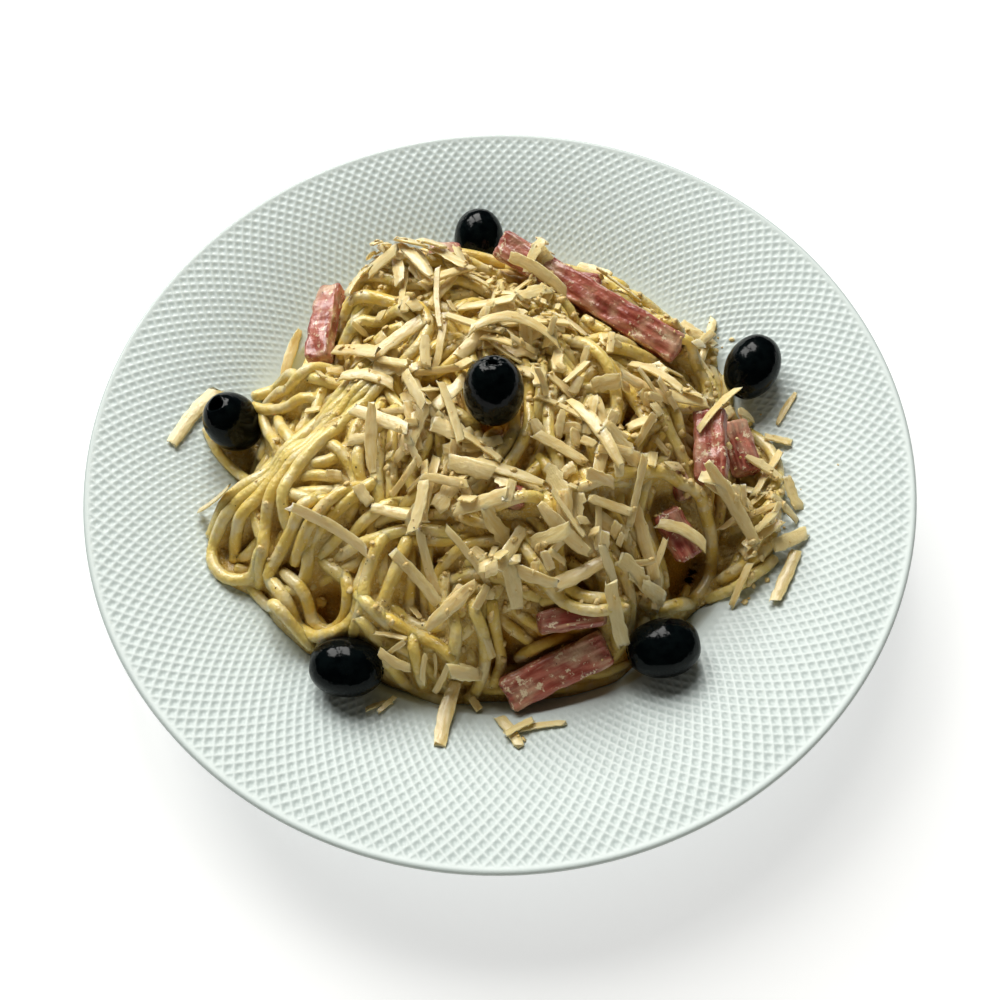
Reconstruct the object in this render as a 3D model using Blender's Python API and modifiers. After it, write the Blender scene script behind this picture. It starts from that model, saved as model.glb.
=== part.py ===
"""Spaghetti carbonara on its plate: a white relief-rim pasta plate, the heap of pasta in its well,
ham sticks in and on the heap, and six pitted black olives.

Metres, +Z up, origin under the plate's centre.
"""
import math

import bmesh
import bpy
from mathutils import Matrix, Vector

# Plate: a deep pasta plate with a wide rim that falls to a round well
PLATE_RADIUS = 0.140
RIM_HEIGHT = 0.037
RIM_SLOPE = 0.262
RIM_CURVE = 0.290
WELL_EDGE_RADIUS = 0.0894
FLOOR_RADIUS = 0.079
FLOOR_TOP = 0.0075
# How the well's wall rises: 1 is straight, higher is more hollow
WELL_CURVE = 1.5
PLATE_WALL = 0.0045
# Radii at which the underside follows the upper face, one wall below it
UNDERSIDE_RADII = (0.115, 0.094, 0.086)
LIP_ROUND = 0.0012
# Part of the wall that shows below the lip before the underside starts
LIP_WALL_PART = 0.7
FOOT_RADIUS = 0.076
FOOT_WIDTH = 0.005
FOOT_HEIGHT = 0.0025
FOOT_DRAFT_OUT = 0.0005
FOOT_DRAFT_IN = 0.001
TURN_STEPS = 72

# Heap of pasta
HEAP_RADIUS = 0.084
HEAP_TOP = 0.059
HEAP_EDGE = 0.002
HEAP_RINGS = 18
# How the heap falls from its top: the first is how far out it stays flat, the second how steep its foot is
HEAP_SHOULDER = 2.2
HEAP_FOOT = 0.62
# Lumps and folds fade out towards the outline by this power
EDGE_FADE = 6
# How far the ball's lower half reaches down, into the plate that is then cut away
UNDER_FLOOR = FLOOR_TOP * 0.9
# Where the outline swells or shrinks: direction in degrees, amount, half-width in degrees
OUTLINE_SWELLS = (
    (199, 0.016, 14),
    (225, 0.005, 16),
    (5, 0.002, 20),
    (330, -0.004, 16),
    (112, 0.007, 20),
    (50, 0.004, 20),
    (262, -0.002, 20),
)
# Lumps on the top of the heap: x, y, spread, height
LUMPS = (
    (-0.030, 0.032, 0.024, 0.005),
    (0.032, 0.030, 0.022, 0.003),
    (-0.045, -0.012, 0.022, 0.003),
    (0.028, -0.034, 0.024, 0.004),
    (0.000, 0.004, 0.020, 0.003),
    (-0.028, 0.066, 0.018, 0.011),
    (0.048, -0.005, 0.020, 0.003),
    (0.020, 0.066, 0.020, 0.005),
    (-0.002, -0.045, 0.020, 0.002),
)
# Folds of noodle bundles over the heap: depth, number round the heap, and how far they wind inwards
FOLD_DEPTH = 0.0012
FOLDS_ROUND = 11
FOLD_WINDING = 5.0
FOLD_STEP = 0.026
FOLD_SLANT = 0.6

# Olives: a pitted black olive, and where each one lies: centre, and the way its pit hole points
OLIVE_LENGTH = 0.024
OLIVE_WIDTH = 0.019
PIT_RADIUS = 0.0028
PIT_DEPTH = 0.015
PIT_TAPER = 0.8
OLIVE_STEPS = 14
OLIVE_RINGS = 7
OLIVES = {
    "olive_top": ((-0.0007, -0.0008, 0.0700), (0.00, 0.32, 0.95)),
    "olive_back": ((-0.0074, 0.0913, 0.0309), (0.00, -0.90, -0.44)),
    "olive_left": ((-0.0925, 0.0105, 0.0327), (-0.30, 0.06, 0.95)),
    "olive_right": ((0.0904, 0.0318, 0.0323), (-0.46, -0.80, -0.38)),
    "olive_front_left": ((-0.0475, -0.0771, 0.0301), (0.99, -0.08, -0.05)),
    "olive_front_right": ((0.0525, -0.0710, 0.0290), (-0.98, -0.19, -0.08)),
}

# Ham sticks: both ends of the centre line, width, thickness, roll in degrees and bow
HAM_BEVEL = 0.0012
HAM_STICKS = {
    "ham_back_long": ((0.001, 0.074, 0.0500), (0.063, 0.030, 0.0450), 0.0115, 0.0085, 28, 0.0020),
    "ham_back_short": ((0.027, 0.064, 0.0400), (0.038, 0.062, 0.0400), 0.0080, 0.0060, 0, 0.0000),
    "ham_back_left": ((-0.060, 0.062, 0.0400), (-0.062, 0.028, 0.0430), 0.0100, 0.0075, 20, 0.0015),
    "ham_front": ((0.002, -0.084, 0.0205), (0.035, -0.070, 0.0290), 0.0120, 0.0085, 25, -0.0010),
    "ham_front_inner": ((0.012, -0.066, 0.0380), (0.034, -0.063, 0.0400), 0.0080, 0.0070, 15, 0.0000),
    "ham_right_upper": ((0.0715, 0.007, 0.0440), (0.0705, -0.018, 0.0400), 0.0115, 0.0080, 20, 0.0010),
    "ham_right_lower": ((0.081, 0.010, 0.0310), (0.086, -0.009, 0.0280), 0.0105, 0.0080, -20, 0.0000),
    "ham_in_loop": ((0.054, -0.028, 0.0400), (0.063, -0.042, 0.0330), 0.0100, 0.0080, 10, 0.0000),
    "ham_dark": ((0.0585, -0.013, 0.0410), (0.0615, -0.024, 0.0380), 0.0065, 0.0060, 0, 0.0000),
    "ham_centre": ((-0.001, -0.031, 0.0600), (0.009, -0.033, 0.0590), 0.0080, 0.0060, 0, 0.0000),
    "ham_back_low": ((-0.025, 0.073, 0.0470), (-0.013, 0.073, 0.0450), 0.0080, 0.0060, 0, 0.0000),
}

GAP = 0.0003
COLLECTION = "Spaghetti carbonara"
CUTTERS = "Cutters"


def clear_scene():
    for obj in list(bpy.data.objects):
        bpy.data.objects.remove(obj)


def collection(name):
    found = bpy.data.collections.new(name)
    bpy.context.scene.collection.children.link(found)
    return found


def material(name, colour, roughness):
    made = bpy.data.materials.new(name)
    made.use_nodes = True
    shader = made.node_tree.nodes["Principled BSDF"]
    shader.inputs["Base Color"].default_value = (*colour, 1.0)
    shader.inputs["Roughness"].default_value = roughness
    shader.inputs["Metallic"].default_value = 0.0
    return made


def mesh_object(name, shape, home, finish=None):
    """A new object in the collection home, whose mesh comes from the bmesh shape."""
    mesh = bpy.data.meshes.new(name)
    shape.to_mesh(mesh)
    shape.free()
    obj = bpy.data.objects.new(name, mesh)
    home.objects.link(obj)
    if finish:
        mesh.materials.append(finish)
    else:
        obj.hide_render = True
        obj.display_type = "WIRE"
    return obj


def turned(name, profile, steps, home, finish=None):
    """A solid turned about Z from (radius, height) points that run down its outer side."""
    shape = bmesh.new()
    points = [shape.verts.new((radius, 0.0, height)) for radius, height in profile]
    for start, end in zip(points, points[1:]):
        shape.edges.new((start, end))
    obj = mesh_object(name, shape, home, finish)
    screw = obj.modifiers.new("Turn", "SCREW")
    screw.steps = screw.render_steps = steps
    screw.use_merge_vertices = True
    screw.merge_threshold = 0.00001
    screw.use_smooth_shade = True
    return obj


def rim_top(radius):
    """Height of the rim's upper face at a radius."""
    inward = 1.0 - radius / PLATE_RADIUS
    return RIM_HEIGHT - PLATE_RADIUS * (RIM_SLOPE * inward + RIM_CURVE * inward**2)


def plate_top(radius):
    """Height of the plate's upper face at a radius: floor, curved well wall, then rim."""
    if radius >= WELL_EDGE_RADIUS:
        return rim_top(radius)
    up = max(0.0, (radius - FLOOR_RADIUS) / (WELL_EDGE_RADIUS - FLOOR_RADIUS))
    return FLOOR_TOP + (rim_top(WELL_EDGE_RADIUS) - FLOOR_TOP) * up**WELL_CURVE


def upper_profile(lift):
    """The plate's upper face from its axis out to the lip, raised by lift."""
    radii = [0.0, FLOOR_RADIUS]
    radii += [FLOOR_RADIUS + (WELL_EDGE_RADIUS - FLOOR_RADIUS) * part for part in (0.35, 0.7, 1.0)]
    radii += [WELL_EDGE_RADIUS + (PLATE_RADIUS - WELL_EDGE_RADIUS) * part for part in (0.25, 0.5, 0.75)]
    radii.append(PLATE_RADIUS - LIP_ROUND)
    return [(radius, plate_top(radius) + lift) for radius in radii]


def make_plate(home, finish):
    top = upper_profile(0.0)
    lip_height = rim_top(PLATE_RADIUS)
    profile = [*top, (PLATE_RADIUS, lip_height - LIP_ROUND)]
    profile.append((PLATE_RADIUS - LIP_ROUND, lip_height - PLATE_WALL * LIP_WALL_PART))
    for radius in UNDERSIDE_RADII:
        profile.append((radius, plate_top(radius) - PLATE_WALL))
    foot_in = FOOT_RADIUS - FOOT_WIDTH
    profile += [(FOOT_RADIUS + FOOT_DRAFT_OUT, FOOT_HEIGHT), (FOOT_RADIUS, 0.0)]
    profile += [(foot_in, 0.0), (foot_in - FOOT_DRAFT_IN, FOOT_HEIGHT), (0.0, FOOT_HEIGHT)]
    return turned("plate", profile, TURN_STEPS, home, finish)


def outline(direction):
    """Radius of the heap's outline in a direction given in radians."""
    radius = HEAP_RADIUS
    for middle, amount, spread in OUTLINE_SWELLS:
        away = (math.degrees(direction) - middle + 180) % 360 - 180
        radius += amount * math.exp(-((away / spread) ** 2))
    return radius


def heap_top(x, y):
    """Height of the heap over a point inside its outline."""
    edge_radius = outline(math.atan2(y, x))
    part = min(1.0, math.hypot(x, y) / edge_radius)
    edge = plate_top(edge_radius) + HEAP_EDGE
    height = edge + (HEAP_TOP - edge) * (1 - part**HEAP_SHOULDER) ** HEAP_FOOT
    for lump_x, lump_y, spread, rise in LUMPS:
        away = ((x - lump_x) ** 2 + (y - lump_y) ** 2) / spread**2
        height += rise * math.exp(-away) * (1 - part**EDGE_FADE)
    direction = math.atan2(y, x)
    wound = math.sin(FOLDS_ROUND * direction + FOLD_WINDING * math.tau * part)
    crossed = math.sin(math.tau * (x + FOLD_SLANT * y) / FOLD_STEP)
    return height + FOLD_DEPTH * (wound + crossed) * part * (1 - part**EDGE_FADE)


def make_heap(home, finish):
    """The pasta as one solid: a ball's upper half becomes the heap and its lower half goes down."""
    shape = bmesh.new()
    bmesh.ops.create_uvsphere(shape, u_segments=TURN_STEPS, v_segments=HEAP_RINGS, radius=1.0)
    for vert in shape.verts:
        direction = math.atan2(vert.co.y, vert.co.x)
        reach = outline(direction) * math.hypot(vert.co.x, vert.co.y)
        x = reach * math.cos(direction)
        y = reach * math.sin(direction)
        below = vert.co.z < -0.001
        vert.co = (x, y, vert.co.z * UNDER_FLOOR if below else heap_top(x, y))
    heap = mesh_object("pasta_heap", shape, home, finish)
    heap.data.shade_smooth()
    return heap


def olive_profile(grow):
    """Half outline along +Z of a pitted olive, its blind hole at the top, or of its plain hull."""
    half = OLIVE_LENGTH / 2 + grow
    belly = OLIVE_WIDTH / 2 + grow
    mouth = math.asin(PIT_RADIUS / belly) if not grow else 0.0
    count = OLIVE_RINGS if not grow else OLIVE_RINGS + 1
    angles = [mouth + (math.pi - mouth) * step / count for step in range(count + 1)]
    outer = [(belly * math.sin(angle), half * math.cos(angle)) for angle in angles]
    outer[-1] = (0.0, -half)
    if grow:
        outer[0] = (0.0, half)
        return outer
    bottom = half - PIT_DEPTH
    return [(0.0, bottom), (PIT_RADIUS * PIT_TAPER, bottom), *outer]


def point_along(obj, centre, direction):
    """Turns an object's +Z to a direction and moves it to a centre."""
    turn = Vector((0, 0, 1)).rotation_difference(Vector(direction).normalized())
    obj.matrix_world = Matrix.Translation(centre) @ turn.to_matrix().to_4x4()


def make_olive(name, centre, direction, home, cutters, finish):
    olive = turned(name, olive_profile(0.0), OLIVE_STEPS, home, finish)
    point_along(olive, centre, direction)
    cutter = turned(name + "_space", olive_profile(GAP), OLIVE_STEPS, cutters)
    point_along(cutter, centre, direction)
    return cutter


def stick(name, start, end, width, thickness, roll, bow, home, finish=None):
    """A square-cut stick from start to end, rolled about its length and bowed upwards in the middle."""
    start = Vector(start)
    end = Vector(end)
    along = (end - start).normalized()
    side = Vector((0, 0, 1)).cross(along).normalized()
    side.rotate(Matrix.Rotation(math.radians(roll), 3, along))
    up = along.cross(side)
    shape = bmesh.new()
    bmesh.ops.create_cube(shape, size=1.0)
    long_edges = [edge for edge in shape.edges if abs(edge.verts[0].co.x - edge.verts[1].co.x) > 0.5]
    bmesh.ops.subdivide_edges(shape, edges=long_edges, cuts=3, use_grid_fill=True)
    for vert in shape.verts:
        part = vert.co.x + 0.5
        middle = start.lerp(end, part) + up * bow * math.sin(math.pi * part)
        vert.co = middle + side * vert.co.y * width + up * vert.co.z * thickness
    obj = mesh_object(name, shape, home, finish)
    if finish:
        bevel = obj.modifiers.new("Worn edges", "BEVEL")
        bevel.width = HAM_BEVEL
        bevel.segments = 1
        bevel.limit_method = "ANGLE"
    return obj


def make_ham(name, start, end, width, thickness, roll, bow, home, cutters, finish):
    stick(name, start, end, width, thickness, roll, bow, home, finish)
    spare = (Vector(end) - Vector(start)).normalized() * GAP
    far_start = Vector(start) - spare
    far_end = Vector(end) + spare
    wide = width + 2 * GAP
    thick = thickness + 2 * GAP
    return stick(name + "_space", far_start, far_end, wide, thick, roll, bow, cutters)


def cut(obj, cutter):
    boolean = obj.modifiers.new("Room for " + cutter.name, "BOOLEAN")
    boolean.operation = "DIFFERENCE"
    boolean.object = cutter


def build():
    clear_scene()
    home = collection(COLLECTION)
    cutters = collection(CUTTERS)
    cutters.hide_render = True
    glaze = material("White glazed porcelain", (0.86, 0.90, 0.89), 0.15)
    pasta = material("Sauced spaghetti", (0.62, 0.45, 0.17), 0.40)
    olive = material("Black olive", (0.006, 0.008, 0.010), 0.12)
    ham = material("Smoked ham", (0.42, 0.13, 0.10), 0.35)

    make_plate(home, glaze)
    below_plate = [(PLATE_RADIUS, -FLOOR_TOP), (0.0, -FLOOR_TOP)]
    bed = turned("plate_space", upper_profile(GAP) + below_plate, TURN_STEPS, cutters)
    heap = make_heap(home, pasta)
    cut(heap, bed)
    for name, (centre, direction) in OLIVES.items():
        cut(heap, make_olive(name, centre, direction, home, cutters, olive))
    for name, sizes in HAM_STICKS.items():
        cut(heap, make_ham(name, *sizes, home, cutters, ham))


build()
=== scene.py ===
"""Looks of the spaghetti carbonara on its plate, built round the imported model. Metres, +Z up."""
import math

import bmesh
import bpy
import numpy as np
from mathutils import Matrix, Vector
from mathutils.bvhtree import BVHTree


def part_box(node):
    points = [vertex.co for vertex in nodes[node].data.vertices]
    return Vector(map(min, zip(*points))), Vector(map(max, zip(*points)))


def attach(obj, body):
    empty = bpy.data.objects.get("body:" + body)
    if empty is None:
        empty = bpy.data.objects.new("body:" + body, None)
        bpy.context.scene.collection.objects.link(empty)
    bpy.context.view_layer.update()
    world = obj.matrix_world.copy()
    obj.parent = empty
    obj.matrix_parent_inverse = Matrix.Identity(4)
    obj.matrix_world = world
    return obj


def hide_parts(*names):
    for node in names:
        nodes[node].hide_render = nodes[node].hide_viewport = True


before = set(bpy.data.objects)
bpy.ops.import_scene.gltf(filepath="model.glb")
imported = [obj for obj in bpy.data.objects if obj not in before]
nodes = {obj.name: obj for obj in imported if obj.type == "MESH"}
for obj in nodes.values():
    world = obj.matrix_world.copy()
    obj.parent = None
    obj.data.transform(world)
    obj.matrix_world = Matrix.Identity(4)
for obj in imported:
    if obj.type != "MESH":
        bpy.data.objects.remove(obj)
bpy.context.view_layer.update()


# ---------------------------------------------------------------------------------------------------
# Camera, light and table. The dish stands on a pale table and is seen from the diner's seat, looking
# down at about 61 degrees. Light comes from a window of two tall panes behind it on the left, with a
# weak warm fill from the front.

CAMERA_LENS = 37.8
CAMERA_PLACE = (0.00514, -0.17404, 0.34899)
PANE_SIZE = (0.46, 0.95)
PANE_POWER = 16.0
FILL_POWER = 3.0
ROOM_LIGHT = 0.07
ROOM_IN_REFLECTIONS = 0.012
TABLE_GLOW = 0.55

camera_data = bpy.data.cameras.new("camera")
camera_data.sensor_width = 36.0
camera_data.lens = CAMERA_LENS
camera = bpy.data.objects.new("camera", camera_data)
bpy.context.scene.collection.objects.link(camera)
view_right = Vector((0.99990, 0.0, -0.01412))
view_back = Vector((0.01270, -0.43687, 0.89943)).normalized()
view_up = view_back.cross(view_right).normalized()
view_right = view_up.cross(view_back)
camera.matrix_world = Matrix.Translation(CAMERA_PLACE) @ Matrix(
    (view_right, view_up, view_back)
).transposed().to_4x4()
bpy.context.scene.camera = camera
bpy.context.scene.view_settings.view_transform = "Standard"


def area_light(name, place, aim, size, power, colour):
    data = bpy.data.lights.new(name, "AREA")
    data.shape = "RECTANGLE"
    data.size, data.size_y = size
    data.energy = power
    data.color = colour
    light = bpy.data.objects.new(name, data)
    light.location = place
    light.rotation_euler = (Vector(aim) - Vector(place)).to_track_quat("-Z", "Y").to_euler()
    bpy.context.scene.collection.objects.link(light)
    return light


for side, across in (("left", -0.74), ("right", -0.10)):
    place, aim = (across, 0.93, 0.98), (across + 0.42, 0, 0.03)
    area_light("window_pane_" + side, place, aim, PANE_SIZE, PANE_POWER, (1.0, 0.99, 0.95))
fill_light = area_light("fill", (0.15, -1.15, 0.50), (0, 0, 0.03), (1.2, 0.6), FILL_POWER, (1.0, 0.93, 0.80))
fill_light.visible_glossy = False
world = bpy.data.worlds.new("room")
world.use_nodes = True
room = world.node_tree
room.nodes["Background"].inputs["Color"].default_value = (1.0, 0.95, 0.85, 1.0)
light_path = room.nodes.new("ShaderNodeLightPath")
dimmed = room.nodes.new("ShaderNodeMapRange")
dimmed.inputs["To Min"].default_value = ROOM_LIGHT
dimmed.inputs["To Max"].default_value = ROOM_IN_REFLECTIONS
room.links.new(light_path.outputs["Is Glossy Ray"], dimmed.inputs["Value"])
room.links.new(dimmed.outputs["Result"], room.nodes["Background"].inputs["Strength"])
bpy.context.scene.world = world

bpy.ops.object.select_all(action="DESELECT")
bpy.ops.mesh.primitive_plane_add(size=4.0, location=(0.0, 0.0, 0.0))
table = bpy.context.object
table.name = "table"
table_paint = bpy.data.materials.new("table_paint")
table_paint.use_nodes = True
shader = table_paint.node_tree.nodes["Principled BSDF"]
shader.inputs["Base Color"].default_value = (0.60, 0.61, 0.61, 1.0)
shader.inputs["Roughness"].default_value = 0.9
shader.inputs["Emission Color"].default_value = (1.0, 1.0, 1.0, 1.0)
shader.inputs["Emission Strength"].default_value = TABLE_GLOW
table.data.materials.append(table_paint)


# ---------------------------------------------------------------------------------------------------
# Plate. White glazed porcelain, pressed and turned: a plain lip, a wide sloping rim with a fine lattice
# in relief, a round well and a ring foot. The lattice is two mirrored sets of thin raised spirals. Its
# ring is modelled from a grid wrapped into a circle; the rest is rings extruded from a circle.

PLATE_RADIUS = 0.140
RIM_HEIGHT = 0.037
RIM_SLOPE = 0.262
RIM_CURVE = 0.290
WELL_EDGE = 0.0894
FLOOR_RADIUS = 0.079
FLOOR_TOP = 0.0075
WALL = 0.0045
FOOT_RADIUS = 0.076
LATTICE_CELLS = 200
LATTICE_ROWS = 11
LATTICE_INNER = 0.0902
LATTICE_OUTER = 0.1378
LATTICE_DEPTH = 0.00036
STEPS_PER_CELL = 6
RIDGE_SHAPE = (1.0, 0.62, 0.06, 0.0)
BODY_STEPS = 240
SEAM = 0.0004
LIP_RADIUS = 0.0011


def rim_top(radius):
    """Height of the rim's plain surface at a distance from the plate's middle."""
    inward = 1.0 - radius / PLATE_RADIUS
    return RIM_HEIGHT - PLATE_RADIUS * (RIM_SLOPE * inward + RIM_CURVE * inward**2)


def ridge(phase):
    """1 on a spiral's crest and 0 between spirals, from a phase counted in spirals."""
    away = np.abs((phase + 0.5) % 1.0 - 0.5)
    return np.interp(away * STEPS_PER_CELL, range(len(RIDGE_SHAPE)), RIDGE_SHAPE)


def lattice(angle, radius):
    """Height of the relief over the rim's plain surface: cells are sunk, crests are level with it."""
    turn = LATTICE_CELLS * angle / math.tau
    wind = LATTICE_ROWS * (radius - LATTICE_INNER) / (LATTICE_OUTER - LATTICE_INNER)
    crest = np.maximum(ridge(turn + wind), ridge(turn - wind))
    fade = np.clip((radius - LATTICE_INNER) / 0.010, 0.0, 1.0) ** 0.7
    fade *= np.clip((LATTICE_OUTER - radius) / 0.0008, 0.0, 1.0)
    return -LATTICE_DEPTH * fade * (1.0 - crest)


def coordinates(mesh):
    """Places of a mesh's points, one row each."""
    found = np.empty(len(mesh.vertices) * 3)
    mesh.vertices.foreach_get("co", found)
    return found.reshape(-1, 3)


def set_coordinates(mesh, places):
    mesh.vertices.foreach_set("co", np.asarray(places, float).ravel())
    mesh.update()


def select_rings(obj, nearest, farthest):
    """In edit mode, selects the open edges between two radii round Z."""
    mesh = bmesh.from_edit_mesh(obj.data)
    for edge in [edge for edge in mesh.edges if edge.is_boundary]:
        reach = math.hypot(edge.verts[0].co.x, edge.verts[0].co.y)
        if nearest < reach < farthest:
            edge.select = True
    bmesh.update_edit_mesh(obj.data)


def first_shape(primitive, **sizes):
    """Adds a primitive at the origin, with nothing else selected."""
    bpy.ops.object.select_all(action="DESELECT")
    primitive(location=(0, 0, 0), **sizes)
    return bpy.context.object


def work_on(*pieces):
    """Selects pieces, the last of them as the active one."""
    bpy.ops.object.select_all(action="DESELECT")
    for piece in pieces:
        piece.select_set(True)
    bpy.context.view_layer.objects.active = pieces[-1]


columns = LATTICE_CELLS * STEPS_PER_CELL
rows = LATTICE_ROWS * STEPS_PER_CELL
lattice_ring = first_shape(
    bpy.ops.mesh.primitive_grid_add, x_subdivisions=columns, y_subdivisions=rows, size=2.0
)
flat = coordinates(lattice_ring.data)
angle = (flat[:, 0] + 1.0) * math.pi
radius = LATTICE_INNER + (LATTICE_OUTER - LATTICE_INNER) * (flat[:, 1] + 1.0) / 2
height = rim_top(radius) + lattice(angle, radius)
wrapped = np.stack([radius * np.cos(angle), -radius * np.sin(angle), height], 1)
set_coordinates(lattice_ring.data, wrapped)

# The grid's quads are split along the crest that crosses them, so that each crest stays sharp
half_cell = STEPS_PER_CELL // 2
column_of = np.empty(len(lattice_ring.data.polygons), int)
row_of = np.empty(len(lattice_ring.data.polygons), int)
for face in lattice_ring.data.polygons:
    middle = flat[list(face.vertices)].mean(0)
    column_of[face.index] = int((middle[0] + 1.0) / 2 * columns) // half_cell
    row_of[face.index] = int((middle[1] + 1.0) / 2 * rows) // half_cell
bpy.ops.object.mode_set(mode="EDIT")
bpy.ops.mesh.select_mode(type="FACE")
for parity, method in ((0, "FIXED"), (1, "FIXED_ALTERNATE")):
    bpy.ops.mesh.select_all(action="DESELECT")
    shape = bmesh.from_edit_mesh(lattice_ring.data)
    shape.faces.ensure_lookup_table()
    quads = [face for face in shape.faces if len(face.verts) == 4]
    if parity == 0:
        chosen = [quads[i] for i in range(len(quads)) if (column_of[i] + row_of[i]) % 2 == 0]
    else:
        chosen = quads
    for face in chosen:
        face.select = True
    bmesh.update_edit_mesh(lattice_ring.data)
    bpy.ops.mesh.quads_convert_to_tris(quad_method=method)
bpy.ops.mesh.select_all(action="SELECT")
bpy.ops.mesh.remove_doubles(threshold=0.00001)
bpy.ops.object.mode_set(mode="OBJECT")


def turned_part(start, profile):
    """A ring on the rim's surface, extruded through (radius, height) points and closed in the middle."""
    part = first_shape(bpy.ops.mesh.primitive_circle_add, vertices=BODY_STEPS, radius=start)
    for vert in part.data.vertices:
        vert.co.z = rim_top(start)
    bpy.ops.object.mode_set(mode="EDIT")
    bpy.ops.mesh.select_all(action="SELECT")
    for ring_radius, ring_height in profile:
        bpy.ops.mesh.extrude_edges_move(TRANSFORM_OT_translate={"value": (0, 0, 0)})
        shape = bmesh.from_edit_mesh(part.data)
        for vert in shape.verts:
            if vert.select:
                spread = ring_radius / max(1e-9, math.hypot(vert.co.x, vert.co.y))
                vert.co = (vert.co.x * spread, vert.co.y * spread, ring_height)
        bmesh.update_edit_mesh(part.data)
    bpy.ops.mesh.extrude_edges_move(TRANSFORM_OT_translate={"value": (0, 0, 0)})
    bpy.ops.mesh.merge(type="CENTER")
    bpy.ops.object.mode_set(mode="OBJECT")
    return part


lip_middle = (PLATE_RADIUS - LIP_RADIUS, rim_top(PLATE_RADIUS - LIP_RADIUS) - LIP_RADIUS)
outside = [
    (lip_middle[0] + LIP_RADIUS * math.cos(turn), lip_middle[1] + LIP_RADIUS * math.sin(turn))
    for turn in np.radians(np.linspace(100, -80, 9))
]
outside += [
    (reach, rim_top(reach) - WALL * min(1.0, 0.5 + 22 * (PLATE_RADIUS - reach)))
    for reach in np.linspace(0.1365, 0.092, 14)
]
outside += [(0.0865, 0.0112), (0.0825, 0.0065), (0.0795, 0.0040), (0.0775, 0.0030)]
outside += [(FOOT_RADIUS + 0.0008, 0.0016), (FOOT_RADIUS + 0.0004, 0.0004), (FOOT_RADIUS - 0.0006, 0.0)]
outside += [(0.0716, 0.0), (0.0708, 0.0004), (0.0702, 0.0018), (0.0690, 0.0025)]
outside += [(0.060, 0.0026), (0.03, 0.0027)]
plate = turned_part(LATTICE_OUTER + SEAM, outside)
plate.name = "plate_glazed"

# The inner part: from the lattice over the soft edge of the well, down its wall and across the floor
wall_rise = rim_top(WELL_EDGE) - FLOOR_TOP
inside = []
for part in np.linspace(0.97, 0.0, 11):
    reach = FLOOR_RADIUS + (WELL_EDGE - FLOOR_RADIUS) * part
    inside.append((reach, FLOOR_TOP + wall_rise * (part**1.6 * 0.96)))
inside += [(0.074, FLOOR_TOP - 0.0001), (0.05, FLOOR_TOP - 0.0002), (0.02, FLOOR_TOP - 0.0002)]
well = turned_part(LATTICE_INNER - SEAM, inside)

work_on(lattice_ring, well, plate)
bpy.ops.object.join()
bpy.ops.object.mode_set(mode="EDIT")
bpy.ops.mesh.select_mode(type="EDGE")
for seam in (LATTICE_OUTER + SEAM / 2, LATTICE_INNER - SEAM / 2):
    bpy.ops.mesh.select_all(action="DESELECT")
    select_rings(plate, seam - 0.0003, seam + 0.0003)
    bpy.ops.mesh.bridge_edge_loops()
bpy.ops.mesh.select_all(action="SELECT")
bpy.ops.mesh.normals_make_consistent(inside=False)
bpy.ops.object.mode_set(mode="OBJECT")
bpy.ops.object.shade_smooth_by_angle(angle=math.radians(50))

# Painted shade in the hollows of the relief: the sunk cells are tinted darker and a little greyer
places = coordinates(plate.data)
reach = np.hypot(places[:, 0], places[:, 1])
on_top = places[:, 2] > rim_top(reach) - 1.2 * LATTICE_DEPTH
sunk = np.where(on_top & (reach > LATTICE_INNER), (rim_top(reach) - places[:, 2]) / LATTICE_DEPTH, 0.0)
shade_in_hollows = plate.data.attributes.new("shade_in_hollows", "FLOAT", "POINT")
shade_in_hollows.data.foreach_set("value", np.clip(sunk, 0, 1))


def node(tree, kind, inputs=None, **settings):
    """A shader node with its settings and its inputs, each a value or an output to link."""
    made = tree.nodes.new(kind)
    for name, value in settings.items():
        setattr(made, name, value)
    for name, value in (inputs or {}).items():
        if isinstance(value, bpy.types.NodeSocket):
            tree.links.new(value, made.inputs[name])
        else:
            made.inputs[name].default_value = value
    return made


def mixed(tree, mask, low, high):
    """A colour between two, by a mask."""
    return node(tree, "ShaderNodeMix", {0: mask, 6: low, 7: high}, data_type="RGBA").outputs[2]


def attribute(tree, name, output="Fac"):
    """What a piece keeps at each of its points under a name."""
    return node(tree, "ShaderNodeAttribute", attribute_name=name).outputs[output]


def new_material(name, roughness):
    """A material with its Principled shader, and the place on the object that its patterns read."""
    made = bpy.data.materials.new(name)
    made.use_nodes = True
    tree = made.node_tree
    shader = tree.nodes["Principled BSDF"]
    shader.inputs["Roughness"].default_value = roughness
    return made, tree, shader, node(tree, "ShaderNodeTexCoord").outputs["Object"]


glaze, tree, shader, place = new_material("white_glaze", 0.28)
shader.inputs["Specular IOR Level"].default_value = 0.32
clouds = node(tree, "ShaderNodeTexNoise", {"Vector": place, "Scale": 45.0, "Detail": 2.0}).outputs["Fac"]
body = mixed(tree, clouds, (0.60, 0.675, 0.665, 1), (0.64, 0.715, 0.705, 1))
# painted shade: the sunk cells of the relief darker and greyer
body_with_painted_hollow_shade = mixed(tree, attribute(tree, "shade_in_hollows"), body, (0.50, 0.575, 0.565, 1))
tree.links.new(body_with_painted_hollow_shade, shader.inputs["Base Color"])
plate.data.materials.append(glaze)
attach(plate, "root")
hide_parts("plate")


# ---------------------------------------------------------------------------------------------------
# How the dish is laid. Noodles, ham, olives and cheese rest on what lies under them, so a map of heights
# over the plate keeps the surface so far, and each thing is set on it and then added to it.

CELL = 0.0008
REACH = 0.116
# Depth below the top at which the painted shade of deep places is full
DEPTH_OF_FULL_SHADE = 0.0064
HEAP_SEED = 23
rng = np.random.default_rng(HEAP_SEED)
cells_across = int(round(2 * REACH / CELL)) + 1
map_line = np.linspace(-REACH, REACH, cells_across)
map_x, map_y = np.meshgrid(map_line, map_line, indexing="ij")


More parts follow.
